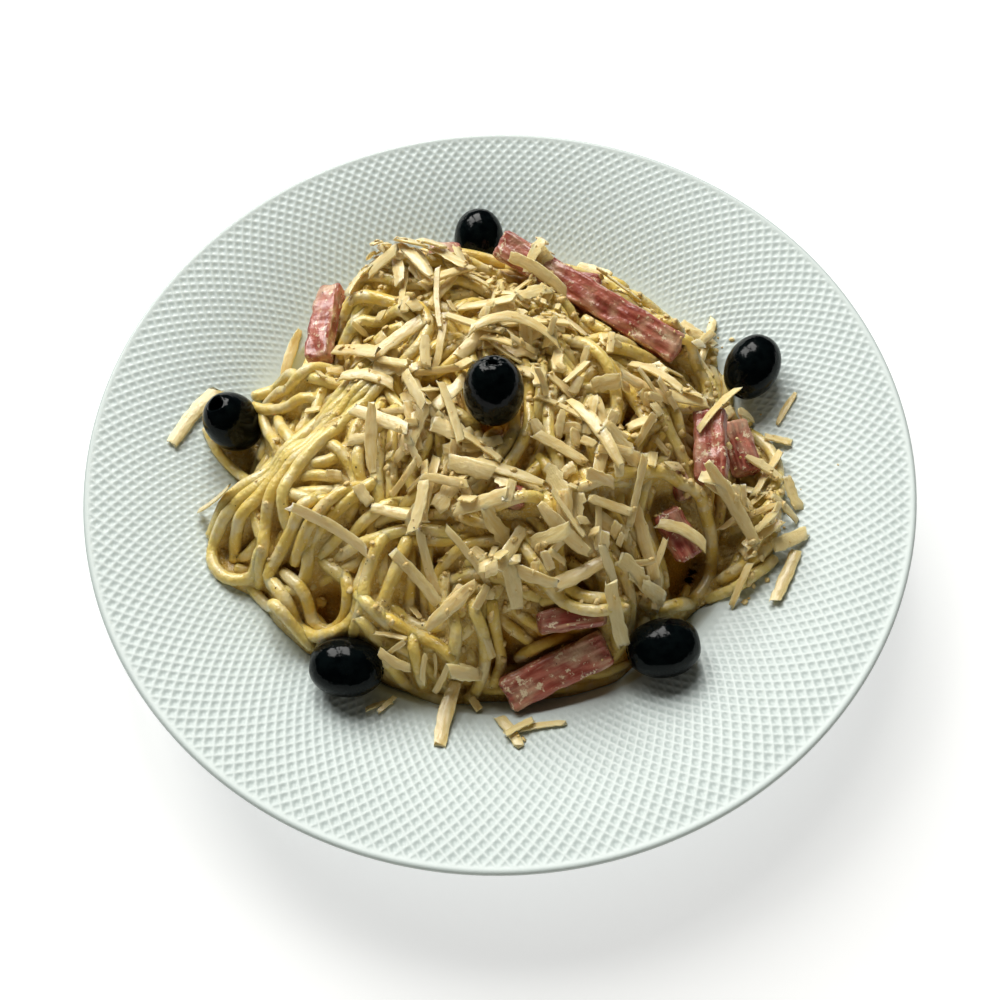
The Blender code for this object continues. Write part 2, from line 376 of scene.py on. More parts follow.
def plate_top(reach):
    """Height of the plate's upper side at a distance from its middle."""
    up = np.clip((reach - FLOOR_RADIUS) / (WELL_EDGE - FLOOR_RADIUS), 0.0, 1.0)
    return np.where(reach > WELL_EDGE, rim_top(reach), FLOOR_TOP + wall_rise * up**1.6)


def surface_map(solid, downwards=True):
    """Heights at which rays from above, or from below, meet a CAD node; a miss is minus or plus infinity."""
    mesh = solid.data
    tree = BVHTree.FromPolygons(coordinates(mesh).tolist(), [face.vertices[:] for face in mesh.polygons])
    low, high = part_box(solid.name)
    found = np.full(map_x.shape, -np.inf if downwards else np.inf)
    start = 0.2 if downwards else -0.1
    way = Vector((0, 0, -1 if downwards else 1))
    inside = (map_x > low[0]) & (map_x < high[0]) & (map_y > low[1]) & (map_y < high[1])
    for i, j in np.argwhere(inside):
        place = tree.ray_cast(Vector((map_line[i], map_line[j], start)), way)[0]
        if place:
            found[i, j] = place.z
    return found


def read_map(field, x, y):
    """The map's value between its cells."""
    across = np.clip((np.asarray(x) + REACH) / CELL, 0, cells_across - 1.001)
    along = np.clip((np.asarray(y) + REACH) / CELL, 0, cells_across - 1.001)
    i, j = across.astype(int), along.astype(int)
    s, t = across - i, along - j
    low = field[i, j] * (1 - t) + field[i, j + 1] * t
    high = field[i + 1, j] * (1 - t) + field[i + 1, j + 1] * t
    return low * (1 - s) + high * s


def blur(field, times=1):
    """Spreads a map to the neighbouring cells."""
    for _ in range(times):
        for axis in (0, 1):
            field = (np.roll(field, 1, axis) + 2 * field + np.roll(field, -1, axis)) / 4
    return field


def ratio_away(x, y, radius):
    """Distance from a place on the map, in parts of a radius; both are given in millimetres."""
    return np.hypot(map_x - x / 1000, map_y - y / 1000) / (radius / 1000)


def soft_patch(x, y, spread):
    """A patch on the map, 1 in its middle and soft at its edge; place and spread are in millimetres."""
    return np.exp(-((map_x - x / 1000) ** 2 + (map_y - y / 1000) ** 2) / (spread / 1000) ** 2)


def nearest_cell(x):
    """Number of the map's row or column nearest to a place."""
    return np.rint((x + REACH) / CELL).astype(int)


def mark_depth_for_painted_shade(mesh):
    """Keeps how far each point lies below the top of what is round it, from 0 to 1, for the painted shade of
    the deep places.
    """
    places = coordinates(mesh)
    buried = read_map(blur(np.minimum(level, heap_top + 0.002), 9), places[:, 0], places[:, 1]) - places[:, 2]
    depth = mesh.attributes.new("depth", "FLOAT", "POINT")
    depth.data.foreach_set("value", np.clip(buried / DEPTH_OF_FULL_SHADE, 0, 1))


def joined_mesh(name, parts, material, smooth=True):
    """One piece from many small meshes: each its corners, faces, tone and, if wanted, its own places."""
    mesh = bpy.data.meshes.new(name)
    corners = np.concatenate([part[0] for part in parts])
    counts = np.cumsum([0] + [len(part[0]) for part in parts])
    faces = []
    for start, part in zip(counts, parts):
        faces += [[start + corner for corner in face] for face in part[1]]
    mesh.from_pydata(corners.tolist(), [], faces)
    mark_depth_for_painted_shade(mesh)
    tones = np.concatenate([np.broadcast_to(part[2], len(part[0])) for part in parts])
    mesh.attributes.new("tone", "FLOAT", "POINT").data.foreach_set("value", tones)
    own_places = np.concatenate([part[3] if len(part) > 3 else part[0] for part in parts])
    mesh.attributes.new("own_place", "FLOAT_VECTOR", "POINT").data.foreach_set("vector", own_places.ravel())
    mesh.polygons.foreach_set("use_smooth", [smooth] * len(mesh.polygons))
    mesh.materials.append(material)
    piece = bpy.data.objects.new(name, mesh)
    bpy.context.scene.collection.objects.link(piece)
    return piece


heap_top = surface_map(nodes["pasta_heap"])
bare_plate = plate_top(np.hypot(map_x, map_y))
heap_top = np.maximum(heap_top, bare_plate)
thickness = heap_top - bare_plate
# Ham sticks and olives keep their places: noodles stay below them or beside them
ham_names = sorted(name for name in nodes if name.startswith("ham"))
olive_names = sorted(name for name in nodes if name.startswith("olive"))
taken_below = np.full(map_x.shape, np.inf)
for name in ham_names + olive_names:
    taken_below = np.minimum(taken_below, surface_map(nodes[name], downwards=False))
tops = {name: surface_map(nodes[name]) for name in ham_names + olive_names}
taken_top = np.maximum.reduce(list(tops.values()))


# ---------------------------------------------------------------------------------------------------
# Inside of the heap. Below the noodles that show lies a dense mass of sauced noodles, modelled as one
# lumpy body a few noodles smaller than the heap, with creamy sauce in its hollows.

CORE_DEPTH = 0.0120
CORE_RINGS = 170
CORE_STEPS = 360
CORE_RIDGE = 0.0016
core_map = blur(np.maximum(heap_top - CORE_DEPTH - 0.25 * np.clip(0.02 - thickness, 0, 1), bare_plate), 4)


def buried_noodles(x, y):
    """Relief like the backs of noodles under sauce: two sets of winding ridges, the higher one showing."""
    first = np.abs(np.sin(720 * (x + 0.006 * np.sin(95 * y) + 0.003 * np.sin(210 * y + 2))))
    second = np.abs(np.sin(700 * (0.5 * x + 0.87 * y + 0.007 * np.sin(85 * x + 1) + 0.003 * np.sin(190 * x))))
    over = np.sin(130 * x + 2 * np.sin(90 * y)) * np.sin(120 * y + 2 * np.sin(100 * x))
    return np.maximum(first + 0.5 * over, second - 0.5 * over) - 0.5


core = first_shape(
    bpy.ops.mesh.primitive_uv_sphere_add, segments=CORE_STEPS, ring_count=CORE_RINGS, radius=1.0
)
core.name = "pasta_inside"
ball = coordinates(core.data)
bpy.ops.object.shade_smooth()


def shape_core(upper_map, ridges):
    """Spreads the ball out to where the map stands clear of the plate, its upper half up to the map."""
    steps = np.arange(CORE_STEPS) * math.tau / CORE_STEPS
    outline = np.zeros(CORE_STEPS)
    for outwards in np.arange(0.03, 0.105, 0.0005):
        deep = read_map(upper_map - bare_plate, outwards * np.cos(steps), outwards * np.sin(steps)) > 0.0006
        outline = np.where(deep, outwards, outline)
    outline = running(outline, 2, lambda windows: windows.mean(1))
    turned = np.arctan2(ball[:, 1], ball[:, 0])
    reach = np.interp(turned % math.tau, np.append(steps, math.tau), np.append(outline, outline[0]))
    part_out = np.arcsin(np.clip(np.hypot(ball[:, 0], ball[:, 1]), 0, 1)) / (math.pi / 2)
    spread = part_out * reach
    core_x, core_y = spread * np.cos(turned), spread * np.sin(turned)
    relief = CORE_RIDGE * ridges * buried_noodles(core_x, core_y) * np.clip((1 - part_out) * 12, 0, 1)
    grain = 0.00022 * np.sin(2900 * core_x + 3 * np.sin(1700 * core_y))
    grain *= np.sin(2700 * core_y + 2 * np.sin(1900 * core_x))
    lower = plate_top(spread) + 0.0003
    upper = np.maximum(read_map(upper_map, core_x, core_y) + relief + grain, lower)
    upper = lower + (upper - lower) * np.clip((1 - part_out) * 30, 0, 1) ** 0.5
    set_coordinates(core.data, np.stack([core_x, core_y, np.where(ball[:, 2] > -0.001, upper, lower)], 1))


def running(values, span, pick):
    """One value for each, picked from those round it."""
    padded = np.pad(values, span, mode="edge")
    windows = np.lib.stride_tricks.sliding_window_view(padded, 2 * span + 1)
    return pick(windows)


def new_group(name, inputs, outputs):
    """An empty node group with its sockets, each a name, a kind and a value to start with."""
    group = bpy.data.node_groups.new(name, "ShaderNodeTree")
    for way, sockets in (("INPUT", inputs), ("OUTPUT", outputs)):
        for socket, kind, value in sockets:
            made = group.interface.new_socket(name=socket, in_out=way, socket_type="NodeSocket" + kind)
            if value is not None:
                made.default_value = value
    return group, node(group, "NodeGroupInput").outputs, node(group, "NodeGroupOutput")


# Uneven patches: a soft noise of a given patch size, from 0 to 1, with edges as hard as wanted
patches, given, result = new_group(
    "uneven_patches",
    (("Place", "Vector", None), ("Per Metre", "Float", 100.0), ("Roughness", "Float", 0.5),
     ("From", "Float", 0.35), ("To", "Float", 0.65)),
    (("Mask", "Float", None),),
)
noise = node(
    patches, "ShaderNodeTexNoise",
    {"Vector": given["Place"], "Scale": given["Per Metre"], "Roughness": given["Roughness"], "Detail": 3.0},
)
spread_mask = node(
    patches, "ShaderNodeMapRange",
    {"Value": noise.outputs["Fac"], "From Min": given["From"], "From Max": given["To"]},
    interpolation_type="SMOOTHSTEP",
)
patches.links.new(spread_mask.outputs["Result"], result.inputs["Mask"])


def mottle(tree, place, per_metre, low=0.35, high=0.65, rough=0.5):
    """A mask of uneven patches on a place."""
    inputs = {"Place": place, "Per Metre": per_metre, "From": low, "To": high, "Roughness": rough}
    return node(tree, "ShaderNodeGroup", inputs, node_tree=patches).outputs["Mask"]


def food_material(name, roughness, soft=0.0, soft_reach=(0.0024, 0.0017, 0.0009), shine=0.0):
    """A material that lets some light in, as food does, under a thin wet film as strong as its shine."""
    made, tree, shader, place = new_material(name, roughness)
    shader.inputs["Subsurface Weight"].default_value = soft
    shader.inputs["Subsurface Radius"].default_value = soft_reach
    shader.inputs["Subsurface Scale"].default_value = 1.0
    shader.inputs["Coat Weight"].default_value = shine
    shader.inputs["Coat Roughness"].default_value = 0.16
    return made, tree, shader, place


def coloured(tree, shader, colour, deepest=None):
    """Gives the shader its colour and, where the piece lies deep, a darker colour painted as the shade down
    there.
    """
    if deepest:
        colour = mixed(tree, attribute(tree, "depth"), colour, deepest)
    tree.links.new(colour, shader.inputs["Base Color"])


def bumpy(tree, shader, height, depth, strength=1.0):
    """Gives the shader a relief of a given depth in metres."""
    made = node(tree, "ShaderNodeBump", {"Height": height, "Distance": depth, "Strength": strength})
    tree.links.new(made.outputs["Normal"], shader.inputs["Normal"])


sauce, tree, shader, place = food_material("thick_cream_sauce", 0.40, shine=0.3)
lumps = mottle(tree, place, 240.0)
tone = mixed(tree, lumps, (0.72, 0.48, 0.10, 1), (0.79, 0.62, 0.24, 1))
flecks = mottle(tree, place, 900.0, 0.56, 0.68)
creamy = mixed(tree, flecks, tone, (0.80, 0.66, 0.34, 1))
# painted shade: dark golden brown where the sauce lies deep below the noodles
coloured(tree, shader, creamy, (0.44, 0.20, 0.008, 1))
bumpy(tree, shader, mottle(tree, place, 700.0, 0.2, 0.8, 0.7), 0.0008)
core.data.materials.append(sauce)
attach(core, "root")
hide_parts("pasta_heap")
level = np.maximum(core_map, bare_plate)


# ---------------------------------------------------------------------------------------------------
# Noodles. Boiled spaghetti coated in cream sauce, laid one on another in loose bundles that wind round
# the heap. Each is a tube that rests on what is under it; the last ones are placed one by one.

NOODLE_RADIUS = 0.0021
NOODLE_STEP = 0.001
NOODLE_SINK = 0.0007
NOODLE_SIDES = 8
TUBE_STEP = 0.0030
END_ROUND = 0.0006
END_DIP = 0.0055
DIP_LENGTH = 0.012
SHORTEST_NOODLE = 0.030
LONGEST_NOODLE = 0.22
MOST_NOODLE = 22.0
SHORT_LENGTHS = 260


def smooth_path(points, step=NOODLE_STEP):
    """A soft curve through points, at equal steps."""
    points = np.asarray(points, float)
    ends = np.vstack([2 * points[0] - points[1], points, 2 * points[-1] - points[-2]])
    pieces = []
    t = np.linspace(0, 1, 12, endpoint=False)[:, None]
    for a, b, c, d in zip(ends, ends[1:], ends[2:], ends[3:]):
        bent, twisted = 2 * a - 5 * b + 4 * c - d, 3 * b - a - 3 * c + d
        pieces.append(0.5 * (2 * b + (c - a) * t + bent * t**2 + twisted * t**3))
    line = np.vstack([*pieces, points[-1:]])
    length = np.concatenate([[0], np.cumsum(np.linalg.norm(np.diff(line, axis=0), axis=1))])
    wanted = np.arange(0, length[-1], step)
    return np.stack([np.interp(wanted, length, line[:, axis]) for axis in range(line.shape[1])], 1)


def around(radius):
    """Cells within a radius, as whole steps from a cell."""
    span = int(radius / CELL) + 1
    steps = np.arange(-span, span + 1)
    i, j = np.meshgrid(steps, steps, indexing="ij")
    near = np.hypot(i, j) * CELL <= radius + 0.4 * CELL
    return i[near], j[near]


def cells_under(path, radius):
    """Map cells under a noodle, how high its round side stands over each, and which it covers."""
    i, j = around(radius)
    at_i = nearest_cell(path[:, 0])[:, None] + i
    at_j = nearest_cell(path[:, 1])[:, None] + j
    at_i, at_j = np.clip(at_i, 0, cells_across - 1), np.clip(at_j, 0, cells_across - 1)
    away = np.hypot(map_line[at_i] - path[:, :1], map_line[at_j] - path[:, 1:2])
    cap = np.sqrt(np.clip(radius**2 - away**2, 0, None))
    return at_i, at_j, cap, away < radius


def softened(values, span):
    """The same line of values without its sharp corners."""
    weights = np.exp(-0.5 * (np.arange(-2 * span, 2 * span + 1) / span) ** 2)
    return running(values, 2 * span, lambda windows: windows @ (weights / weights.sum()))


def rest(path, radius, under, stiffness=2):
    """Height of a noodle's middle line when it lies on what is there."""
    at_i, at_j, cap, inside = cells_under(path, radius)
    support = np.where(inside, under[at_i, at_j] + 0.8 * cap, -1).max(1) - NOODLE_SINK
    bridged = softened(running(support, stiffness, lambda windows: windows.max(1)), stiffness)
    return np.maximum(bridged, support - 0.0005)


def stamp(path, height, radius, onto):
    """Adds a noodle to a map."""
    at_i, at_j, cap, inside = cells_under(path, radius)
    np.maximum.at(onto, (at_i[inside], at_j[inside]), (height[:, None] + cap)[inside])


noodles = []


def lay(path, radius, ceiling=None, shortest=SHORTEST_NOODLE, dip=END_DIP, under=None):
    """Lays a noodle along a path, keeping its longest run under the ceiling, and dips its ends."""
    height = rest(path, radius, level if under is None else under)
    if ceiling is not None:
        on_dish = np.abs(path).max(1) < REACH - 0.004
        fits = on_dish & (height + 0.6 * radius < read_map(ceiling, path[:, 0], path[:, 1]))
        edges = np.flatnonzero(np.diff(np.concatenate([[0], fits.astype(int), [0]])))
        runs = sorted(zip(edges[::2], edges[1::2]), key=lambda run: run[0] - run[1])
        if not runs or (runs[0][1] - runs[0][0]) * NOODLE_STEP < shortest:
            return 0.0
        kept = slice(*runs[0])
        path = path[kept]
        height = softened(height[kept], 2)
    away = np.minimum(np.arange(len(path)), np.arange(len(path))[::-1]) * NOODLE_STEP
    height = height - dip * np.clip(1 - away / DIP_LENGTH, 0, 1) ** 1.6
    height = np.maximum(height, read_map(bare_plate, path[:, 0], path[:, 1]) + 0.85 * radius)
    stamp(path, height, radius, level)
    noodles.append((np.column_stack([path, height]), radius))
    return len(path) * NOODLE_STEP


def wander(start, heading, length, room):
    """A noodle's way over the heap: it bends softly, and turns to where there is room."""
    step = 0.002
    points = [np.array(start, float)]
    bend = 0.0
    for _ in range(int(length / step)):
        bend = np.clip(0.80 * bend + rng.normal(0, 0.055), -0.16, 0.16)
        choices = heading + bend + np.array([-0.16, 0.0, 0.16])
        ahead = np.array([0.004, 0.009, 0.014])[:, None]
        x, y = points[-1]
        found = read_map(room, x + ahead * np.cos(choices), y + ahead * np.sin(choices))
        heading = choices[np.argmax(found.mean(0) + rng.normal(0, 0.0004, 3))]
        points.append(points[-1] + step * np.array([math.cos(heading), math.sin(heading)]))
    return np.array(points)


def beside(path, offset):
    """The same way, a little to one side."""
    ahead = np.gradient(path, axis=0)
    ahead /= np.linalg.norm(ahead, axis=1)[:, None] + 1e-12
    return path + np.stack([-ahead[:, 1], ahead[:, 0]], 1) * np.asarray(offset)[..., None]


def fill(ceiling, most, longest):
    """Lays bundles of noodles from the deepest places upwards until the heap reaches the ceiling."""
    used = 0.0
    given_up = np.zeros(map_x.shape)
    while used < most:
        room = np.clip(ceiling - level - given_up, -0.004, 0.02)
        room = sum([np.roll(room, way, axis) for axis in (0, 1) for way in (2, -2)], room) / 5
        places = np.argwhere(room > max(0.0024, 0.75 * room.max()))
        if not len(places):
            break
        i, j = places[rng.integers(len(places))]
        gained = 0.0
        tries = ((rng.uniform(0.4, 1.0) * longest, rng.integers(1, 5)), (0.045, 1), (0.030, 1))
        for length, strands in tries:
            if gained > 0:
                break
            heading = rng.uniform(0, math.tau)
            back = wander((map_line[i], map_line[j]), heading + math.pi, length / 2, room)
            ahead = wander((map_line[i], map_line[j]), heading, length / 2, room)
            way = smooth_path(np.vstack([back[::-1], ahead[1:]])[::3])
            way = np.clip(way, -REACH * 0.95, REACH * 0.95)
            shortest = min(SHORTEST_NOODLE, 0.45 * length)
            for strand in range(strands):
                sway = softened(rng.normal(0, 0.004, len(way)), 12)
                shift = (strand % 2 * 2 - 1) * ((strand + 1) // 2) * 2.0 * NOODLE_RADIUS
                track = beside(way, shift + sway)
                gained += lay(track, NOODLE_RADIUS * rng.uniform(0.90, 1.08), ceiling, shortest)
        used += gained
        if gained == 0:
            given_up += 0.012 * (np.hypot(map_x - map_line[i], map_y - map_line[j]) < 0.003)


# Hollows between the noodles that show: x, y, radius and depth in millimetres
HOLLOWS = (
    (-86, -35, 7, 4), (-66, -45, 3.5, 7), (-55, -57, 5, 10), (-41, 34, 4, 7), (-34, 36, 4, 7),
    (24, -50, 4, 9), (62, -36, 8, 12), (1, -70, 6, 10), (-34, -72, 3, 6), (31, 36, 4, 8), (-12, -74, 4, 7),
    (43, 2, 4, 6), (-20, 8, 4, 5),
)
hollows = np.zeros(map_x.shape)
for x, y, radius, depth in HOLLOWS:
    hollows = np.maximum(hollows, depth / 1000 * np.clip(1.6 - ratio_away(x, y, radius), 0, 1))
no_noodle = np.where(np.isfinite(taken_below), taken_below - 0.0004, np.inf)
for axis in (0, 1):
    for way in (-1, 1):
        no_noodle = np.minimum(no_noodle, np.roll(no_noodle, way, axis))
# Parts of the foot that spill a little further over the rim: x, y, radius and height in millimetres
SPILLS = (
    (77, 27, 13, 11), (66, 47, 10, 7), (-78, 6, 11, 10), (85, -14, 14, 10), (50, 66, 9, 5), (84, -36, 11, 8),
    (90, 2, 9, 6), (75, 44, 9, 10), (-50, 62, 11, 11), (-40, 72, 9, 9),
)
spilled = np.zeros(map_x.shape)
for x, y, radius, height in SPILLS:
    spilled = np.maximum(spilled, height / 1000 * np.clip(1 - ratio_away(x, y, radius) ** 3, 0, 1))
within = (blur((thickness > 0.0012).astype(float), 14) > 0.18) | (spilled > 0.002)
outline = np.where(within, 0.0, 0.02)
ceiling = np.maximum(heap_top + 0.0006, bare_plate + np.maximum(0.0052, spilled)) - hollows
ceiling = np.minimum(ceiling, no_noodle) - outline
fill(ceiling, MOST_NOODLE, LONGEST_NOODLE)
# Places that are still low get a short length each, turned the way that fits best
for _ in range(SHORT_LENGTHS):
    room = blur(np.clip(ceiling - level, -0.004, 0.02), 1)
    i, j = np.unravel_index(np.argmax(room), room.shape)
    if room[i, j] < 0.0021:
        break
    best = (0.0, None)
    bend = rng.uniform(-9, 9)
    for heading in np.arange(0, math.pi, math.pi / 9):
        along = np.arange(-0.017, 0.017, NOODLE_STEP)
        angle = heading + bend * along
        way = np.cumsum(np.stack([np.cos(angle), np.sin(angle)], 1) * NOODLE_STEP, 0)
        way += np.array([map_line[i], map_line[j]]) - way[len(way) // 2]
        found = read_map(room, way[:, 0], way[:, 1]).mean()
        if found > best[0]:
            best = (found, way)
    if best[1] is None or lay(best[1], NOODLE_RADIUS, ceiling, 0.012, dip=0.003) == 0:
        ceiling = np.where(np.hypot(map_x - map_line[i], map_y - map_line[j]) < 0.0025, -1.0, ceiling)

# The back is steep, so noodles wind along it one above another, from its foot upwards
WINDING_RINGS = 9
WINDING_STEP = 0.0027
WINDING_ARCS = ((52, 88), (84, 128), (124, 152), (149, 180))
steep_ceiling = np.minimum(heap_top + 0.0075, no_noodle)
for ring in range(WINDING_RINGS):
    for start, end in WINDING_ARCS:
        first, last = start + 4 * math.sin(2.3 * ring), end + 4 * math.sin(1.7 * ring + 1)
        angles = np.radians(np.linspace(first, last, 12))
        outwards = np.linspace(0.050, 0.112, 63)[:, None]
        there = read_map(thickness, outwards * np.cos(angles), outwards * np.sin(angles)) > 0.0012
        foot = outwards[there.shape[0] - 1 - there[::-1].argmax(0), 0]
        foot = foot - WINDING_STEP * ring + 0.0010 * np.sin(7 * angles + 1.9 * ring)
        way = smooth_path(np.stack([foot * np.cos(angles), foot * np.sin(angles)], 1))
        lay(way, NOODLE_RADIUS * (0.95 + 0.08 * math.sin(5 * ring + start)), steep_ceiling, 0.010, dip=0.003)

# Noodles that show most, as points in millimetres from the plate's middle, each with its thickness ratio
BUNDLE = (
    # five noodles that cling together, fall from the top to the left and part at the heap's foot
    (1.05, (-41, 24), (-50, 12.5), (-59, 2.5), (-66.5, -6), (-73.5, -13), (-81, -18), (-88, -21), (-93, -25),
     (-98, -31)),
    (1.00, (-39, 22), (-48, 10.5), (-57, 1), (-65, -8), (-72, -15), (-79, -20.5), (-86, -25), (-92, -29),
     (-96, -35), (-94, -42), (-88, -46), (-81, -45), (-76, -40), (-74, -33)),
    (1.05, (-37, 20.5), (-46, 9), (-55, -0.5), (-63, -9.5), (-70.5, -16.5), (-77, -23), (-83, -29),
     (-88, -34), (-89, -40)),
    (1.00, (-35, 19), (-44.5, 7.5), (-53.5, -2), (-61.5, -11), (-68.5, -18.5), (-73, -26), (-75, -34),
     (-76, -42), (-80, -48)),
    (0.98, (-33, 17.5), (-42.5, 6), (-51.5, -3.5), (-59.5, -12.5), (-65, -20), (-68, -28), (-67, -36)),
)
PLACED = (
    (0.95, (-70, -20), (-66, -26), (-59, -29), (-52, -29), (-45, -26)),
    (0.95, (-78, 24), (-82, 17), (-81, 9), (-77, 1), (-73, -6), (-71, -14)),
    (1.00, (-72, 20), (-76, 13), (-74, 5), (-69, -3), (-66, -10)),
    (0.95, (-86, 16), (-80, 13), (-72, 12), (-64, 12), (-57, 9)),
    (1.00, (-90, 27), (-82, 31), (-74, 29), (-67, 22), (-57, 17), (-48, 17)),
    (0.92, (-88, 21), (-79, 23), (-70, 19), (-61, 24), (-52, 24)),
    # loops at the front left
    (1.05, (-36, -22), (-49, -32), (-59, -40), (-61, -47), (-65, -52), (-71, -52), (-74, -47), (-69, -41),
     (-62, -33), (-54, -26)),
    (0.98, (-42, -24), (-50, -29), (-57, -35), (-63, -42), (-66, -46)),
    (1.00, (-70, -46), (-62, -54), (-60, -61), (-55, -64), (-49, -61), (-47, -55), (-50, -47)),
    (1.05, (-74, -48), (-68, -56), (-64, -63), (-57, -67), (-50, -66), (-44, -61), (-43, -53), (-40, -45)),
    (0.95, (-84, -46), (-77, -53), (-71, -58), (-65, -64), (-59, -70)),
    (1.00, (-33, -38), (-38, -46), (-41, -54), (-42, -61), (-46, -68)),
    (1.05, (-27, -40), (-31, -50), (-35, -58), (-39, -65), (-42, -70)),
    # the front
    (1.00, (-44, -57), (-37, -64), (-28, -69), (-19, -71), (-11, -69), (-4, -62), (2, -54)),
    (0.95, (-34, -60), (-26, -65), (-18, -66), (-10, -62), (-4, -54)),
    (1.00, (-16, -50), (-17, -59), (-13, -67), (-14, -75), (-20, -80)),
    (1.00, (-8, -56), (-7, -64), (-4, -71), (-6, -79), (-12, -84)),
    (0.96, (-2, -58), (-1, -66), (1, -73), (-2, -80)),
    # the middle and the right
    (1.00, (-3, -36), (8, -34), (18, -32), (28, -28), (38, -24), (47, -21)),
    (1.05, (14, -30), (18, -40), (19, -48), (21, -55), (26, -59), (34, -60), (43, -57)),
    (0.98, (6, -42), (11, -50), (16, -57), (22, -62), (31, -64), (41, -61)),
    (1.10, (34, -25), (43, -21), (53, -19), (62, -21), (69, -26), (73, -33), (72, -41), (67, -48), (60, -54),
     (52, -57), (45, -54)),
    (1.00, (26, 28), (34, 20), (41, 12), (46, 4), (48, -4), (44, -9), (38, -6)),
    (0.96, (20, 30), (29, 24), (36, 15), (39, 5), (38, -4)),
    # the foot on the right, round the ham and up to the olive
    (1.00, (84, 15), (91, 10), (96, 2), (97, -7), (93, -15), (87, -21), (82, -28)),
    (0.95, (80, -26), (88, -24), (94, -18), (98, -11)),
    (1.00, (74, -44), (82, -41), (89, -36), (92, -28), (88, -21)),
    (0.95, (70, -50), (79, -48), (87, -43), (93, -38)),
    (1.00, (56, 42), (64, 40), (72, 35), (76, 28), (77, 20), (74, 12)),
    (1.05, (52, 50), (60, 51), (68, 48), (74, 42), (77, 37)),
    (1.00, (60, 58), (68, 54), (75, 48), (79, 43)),
    (0.95, (74, 20), (80, 17), (86, 15), (91, 16)),
    (0.95, (60, 34), (67, 31), (72, 25), (73, 17), (70, 10)),
    (0.95, (40, 66), (50, 63), (59, 58), (66, 53)),
    # the back left, up to the skyline
    (1.00, (-53, 44), (-52, 53), (-48, 61), (-41, 69), (-32, 74)),
    (1.00, (-50, 40), (-47, 50), (-43, 59), (-36, 66), (-26, 71)),
    # the foot at the front, beside the olive
    (1.00, (-44, -63), (-38, -69), (-30, -72), (-22, -76), (-14, -82)),
    (0.95, (-36, -64), (-28, -68), (-20, -71), (-13, -77)),
    (0.95, (-38, -74), (-31, -78), (-23, -82), (-15, -85)),
    (0.90, (-27, -66), (-26, -74), (-24, -81)),
    # the folded bundle at the back left
    (1.10, (-54, 44), (-49, 48), (-42, 47), (-33, 44), (-26, 39), (-23, 31), (-26, 23), (-34, 17)),
    (1.00, (-53, 36), (-48, 40), (-42, 40), (-34, 40), (-28, 34), (-29, 27)),
    (1.00, (-50, 28), (-42, 31), (-33, 34), (-30, 28)),
    (1.00, (-54, 56), (-46, 58), (-38, 55), (-30, 52), (-18, 52)),
    (1.00, (-50, 66), (-40, 64), (-28, 61), (-15, 63)),
)
# A noodle that runs under the olive on the left
lay(smooth_path(np.array([(-104, 12), (-99, 3), (-92, -4), (-84, -12), (-78, -16)]) / 1000), 0.0018)
level = np.maximum(level, taken_top)
for ratio, *points in PLACED:
    way = smooth_path(np.array(points) / 1000)
    lay(way, NOODLE_RADIUS * ratio)
under_bundle = level.copy()
for ratio, *points in BUNDLE:
    lay(smooth_path(np.array(points) / 1000), NOODLE_RADIUS * ratio, under=under_bundle)

# Sauce clings between the noodles, so the inside rises to just below them, more in some places than others
noodle_map = np.maximum(core_map, bare_plate)
for line, radius in noodles:
    stamp(line[:, :2], line[:, 2], radius, noodle_map)
thin_places = 0.5 * np.sin(140 * map_x + 2 * np.sin(90 * map_y))
thin_places = 0.5 + thin_places * np.sin(120 * map_y + 2 * np.sin(100 * map_x))
sauce_map = blur(noodle_map, 4) - (0.0011 + 0.0016 * thin_places + 0.6 * hollows)
# Thick creamy patches: x, y and radius in millimetres
CREAMY = (
    (-50, -8, 13), (-62, 10, 10), (-54, -44, 8), (-38, -60, 12), (-18, -70, 12), (-2, -42, 12), (48, -44, 9),
    (-85, -36, 9), (-44, 27, 8), (8, -76, 10), (34, -80, 12), (56, -60, 10), (70, 34, 10), (88, -8, 8),
)
creamy_places = np.zeros(map_x.shape)
for x, y, spread_out in CREAMY:
    creamy_places += soft_patch(x, y, spread_out)
creamy_places = np.minimum(creamy_places, 1.0)
sauce_map += 0.0012 * creamy_places
pool = np.where((creamy_places > 0.25) & (noodle_map > bare_plate + 0.001), 0.0016, 0.0)
sauce_map = np.maximum(sauce_map, bare_plate + blur(pool, 6))
sauce_map = np.minimum(sauce_map, np.where(np.isfinite(taken_below), taken_below + 0.0004, np.inf))
sauce_map = np.maximum(sauce_map, np.maximum(core_map - 0.003, bare_plate))
shape_core(sauce_map, 0.25)
mark_depth_for_painted_shade(core.data)


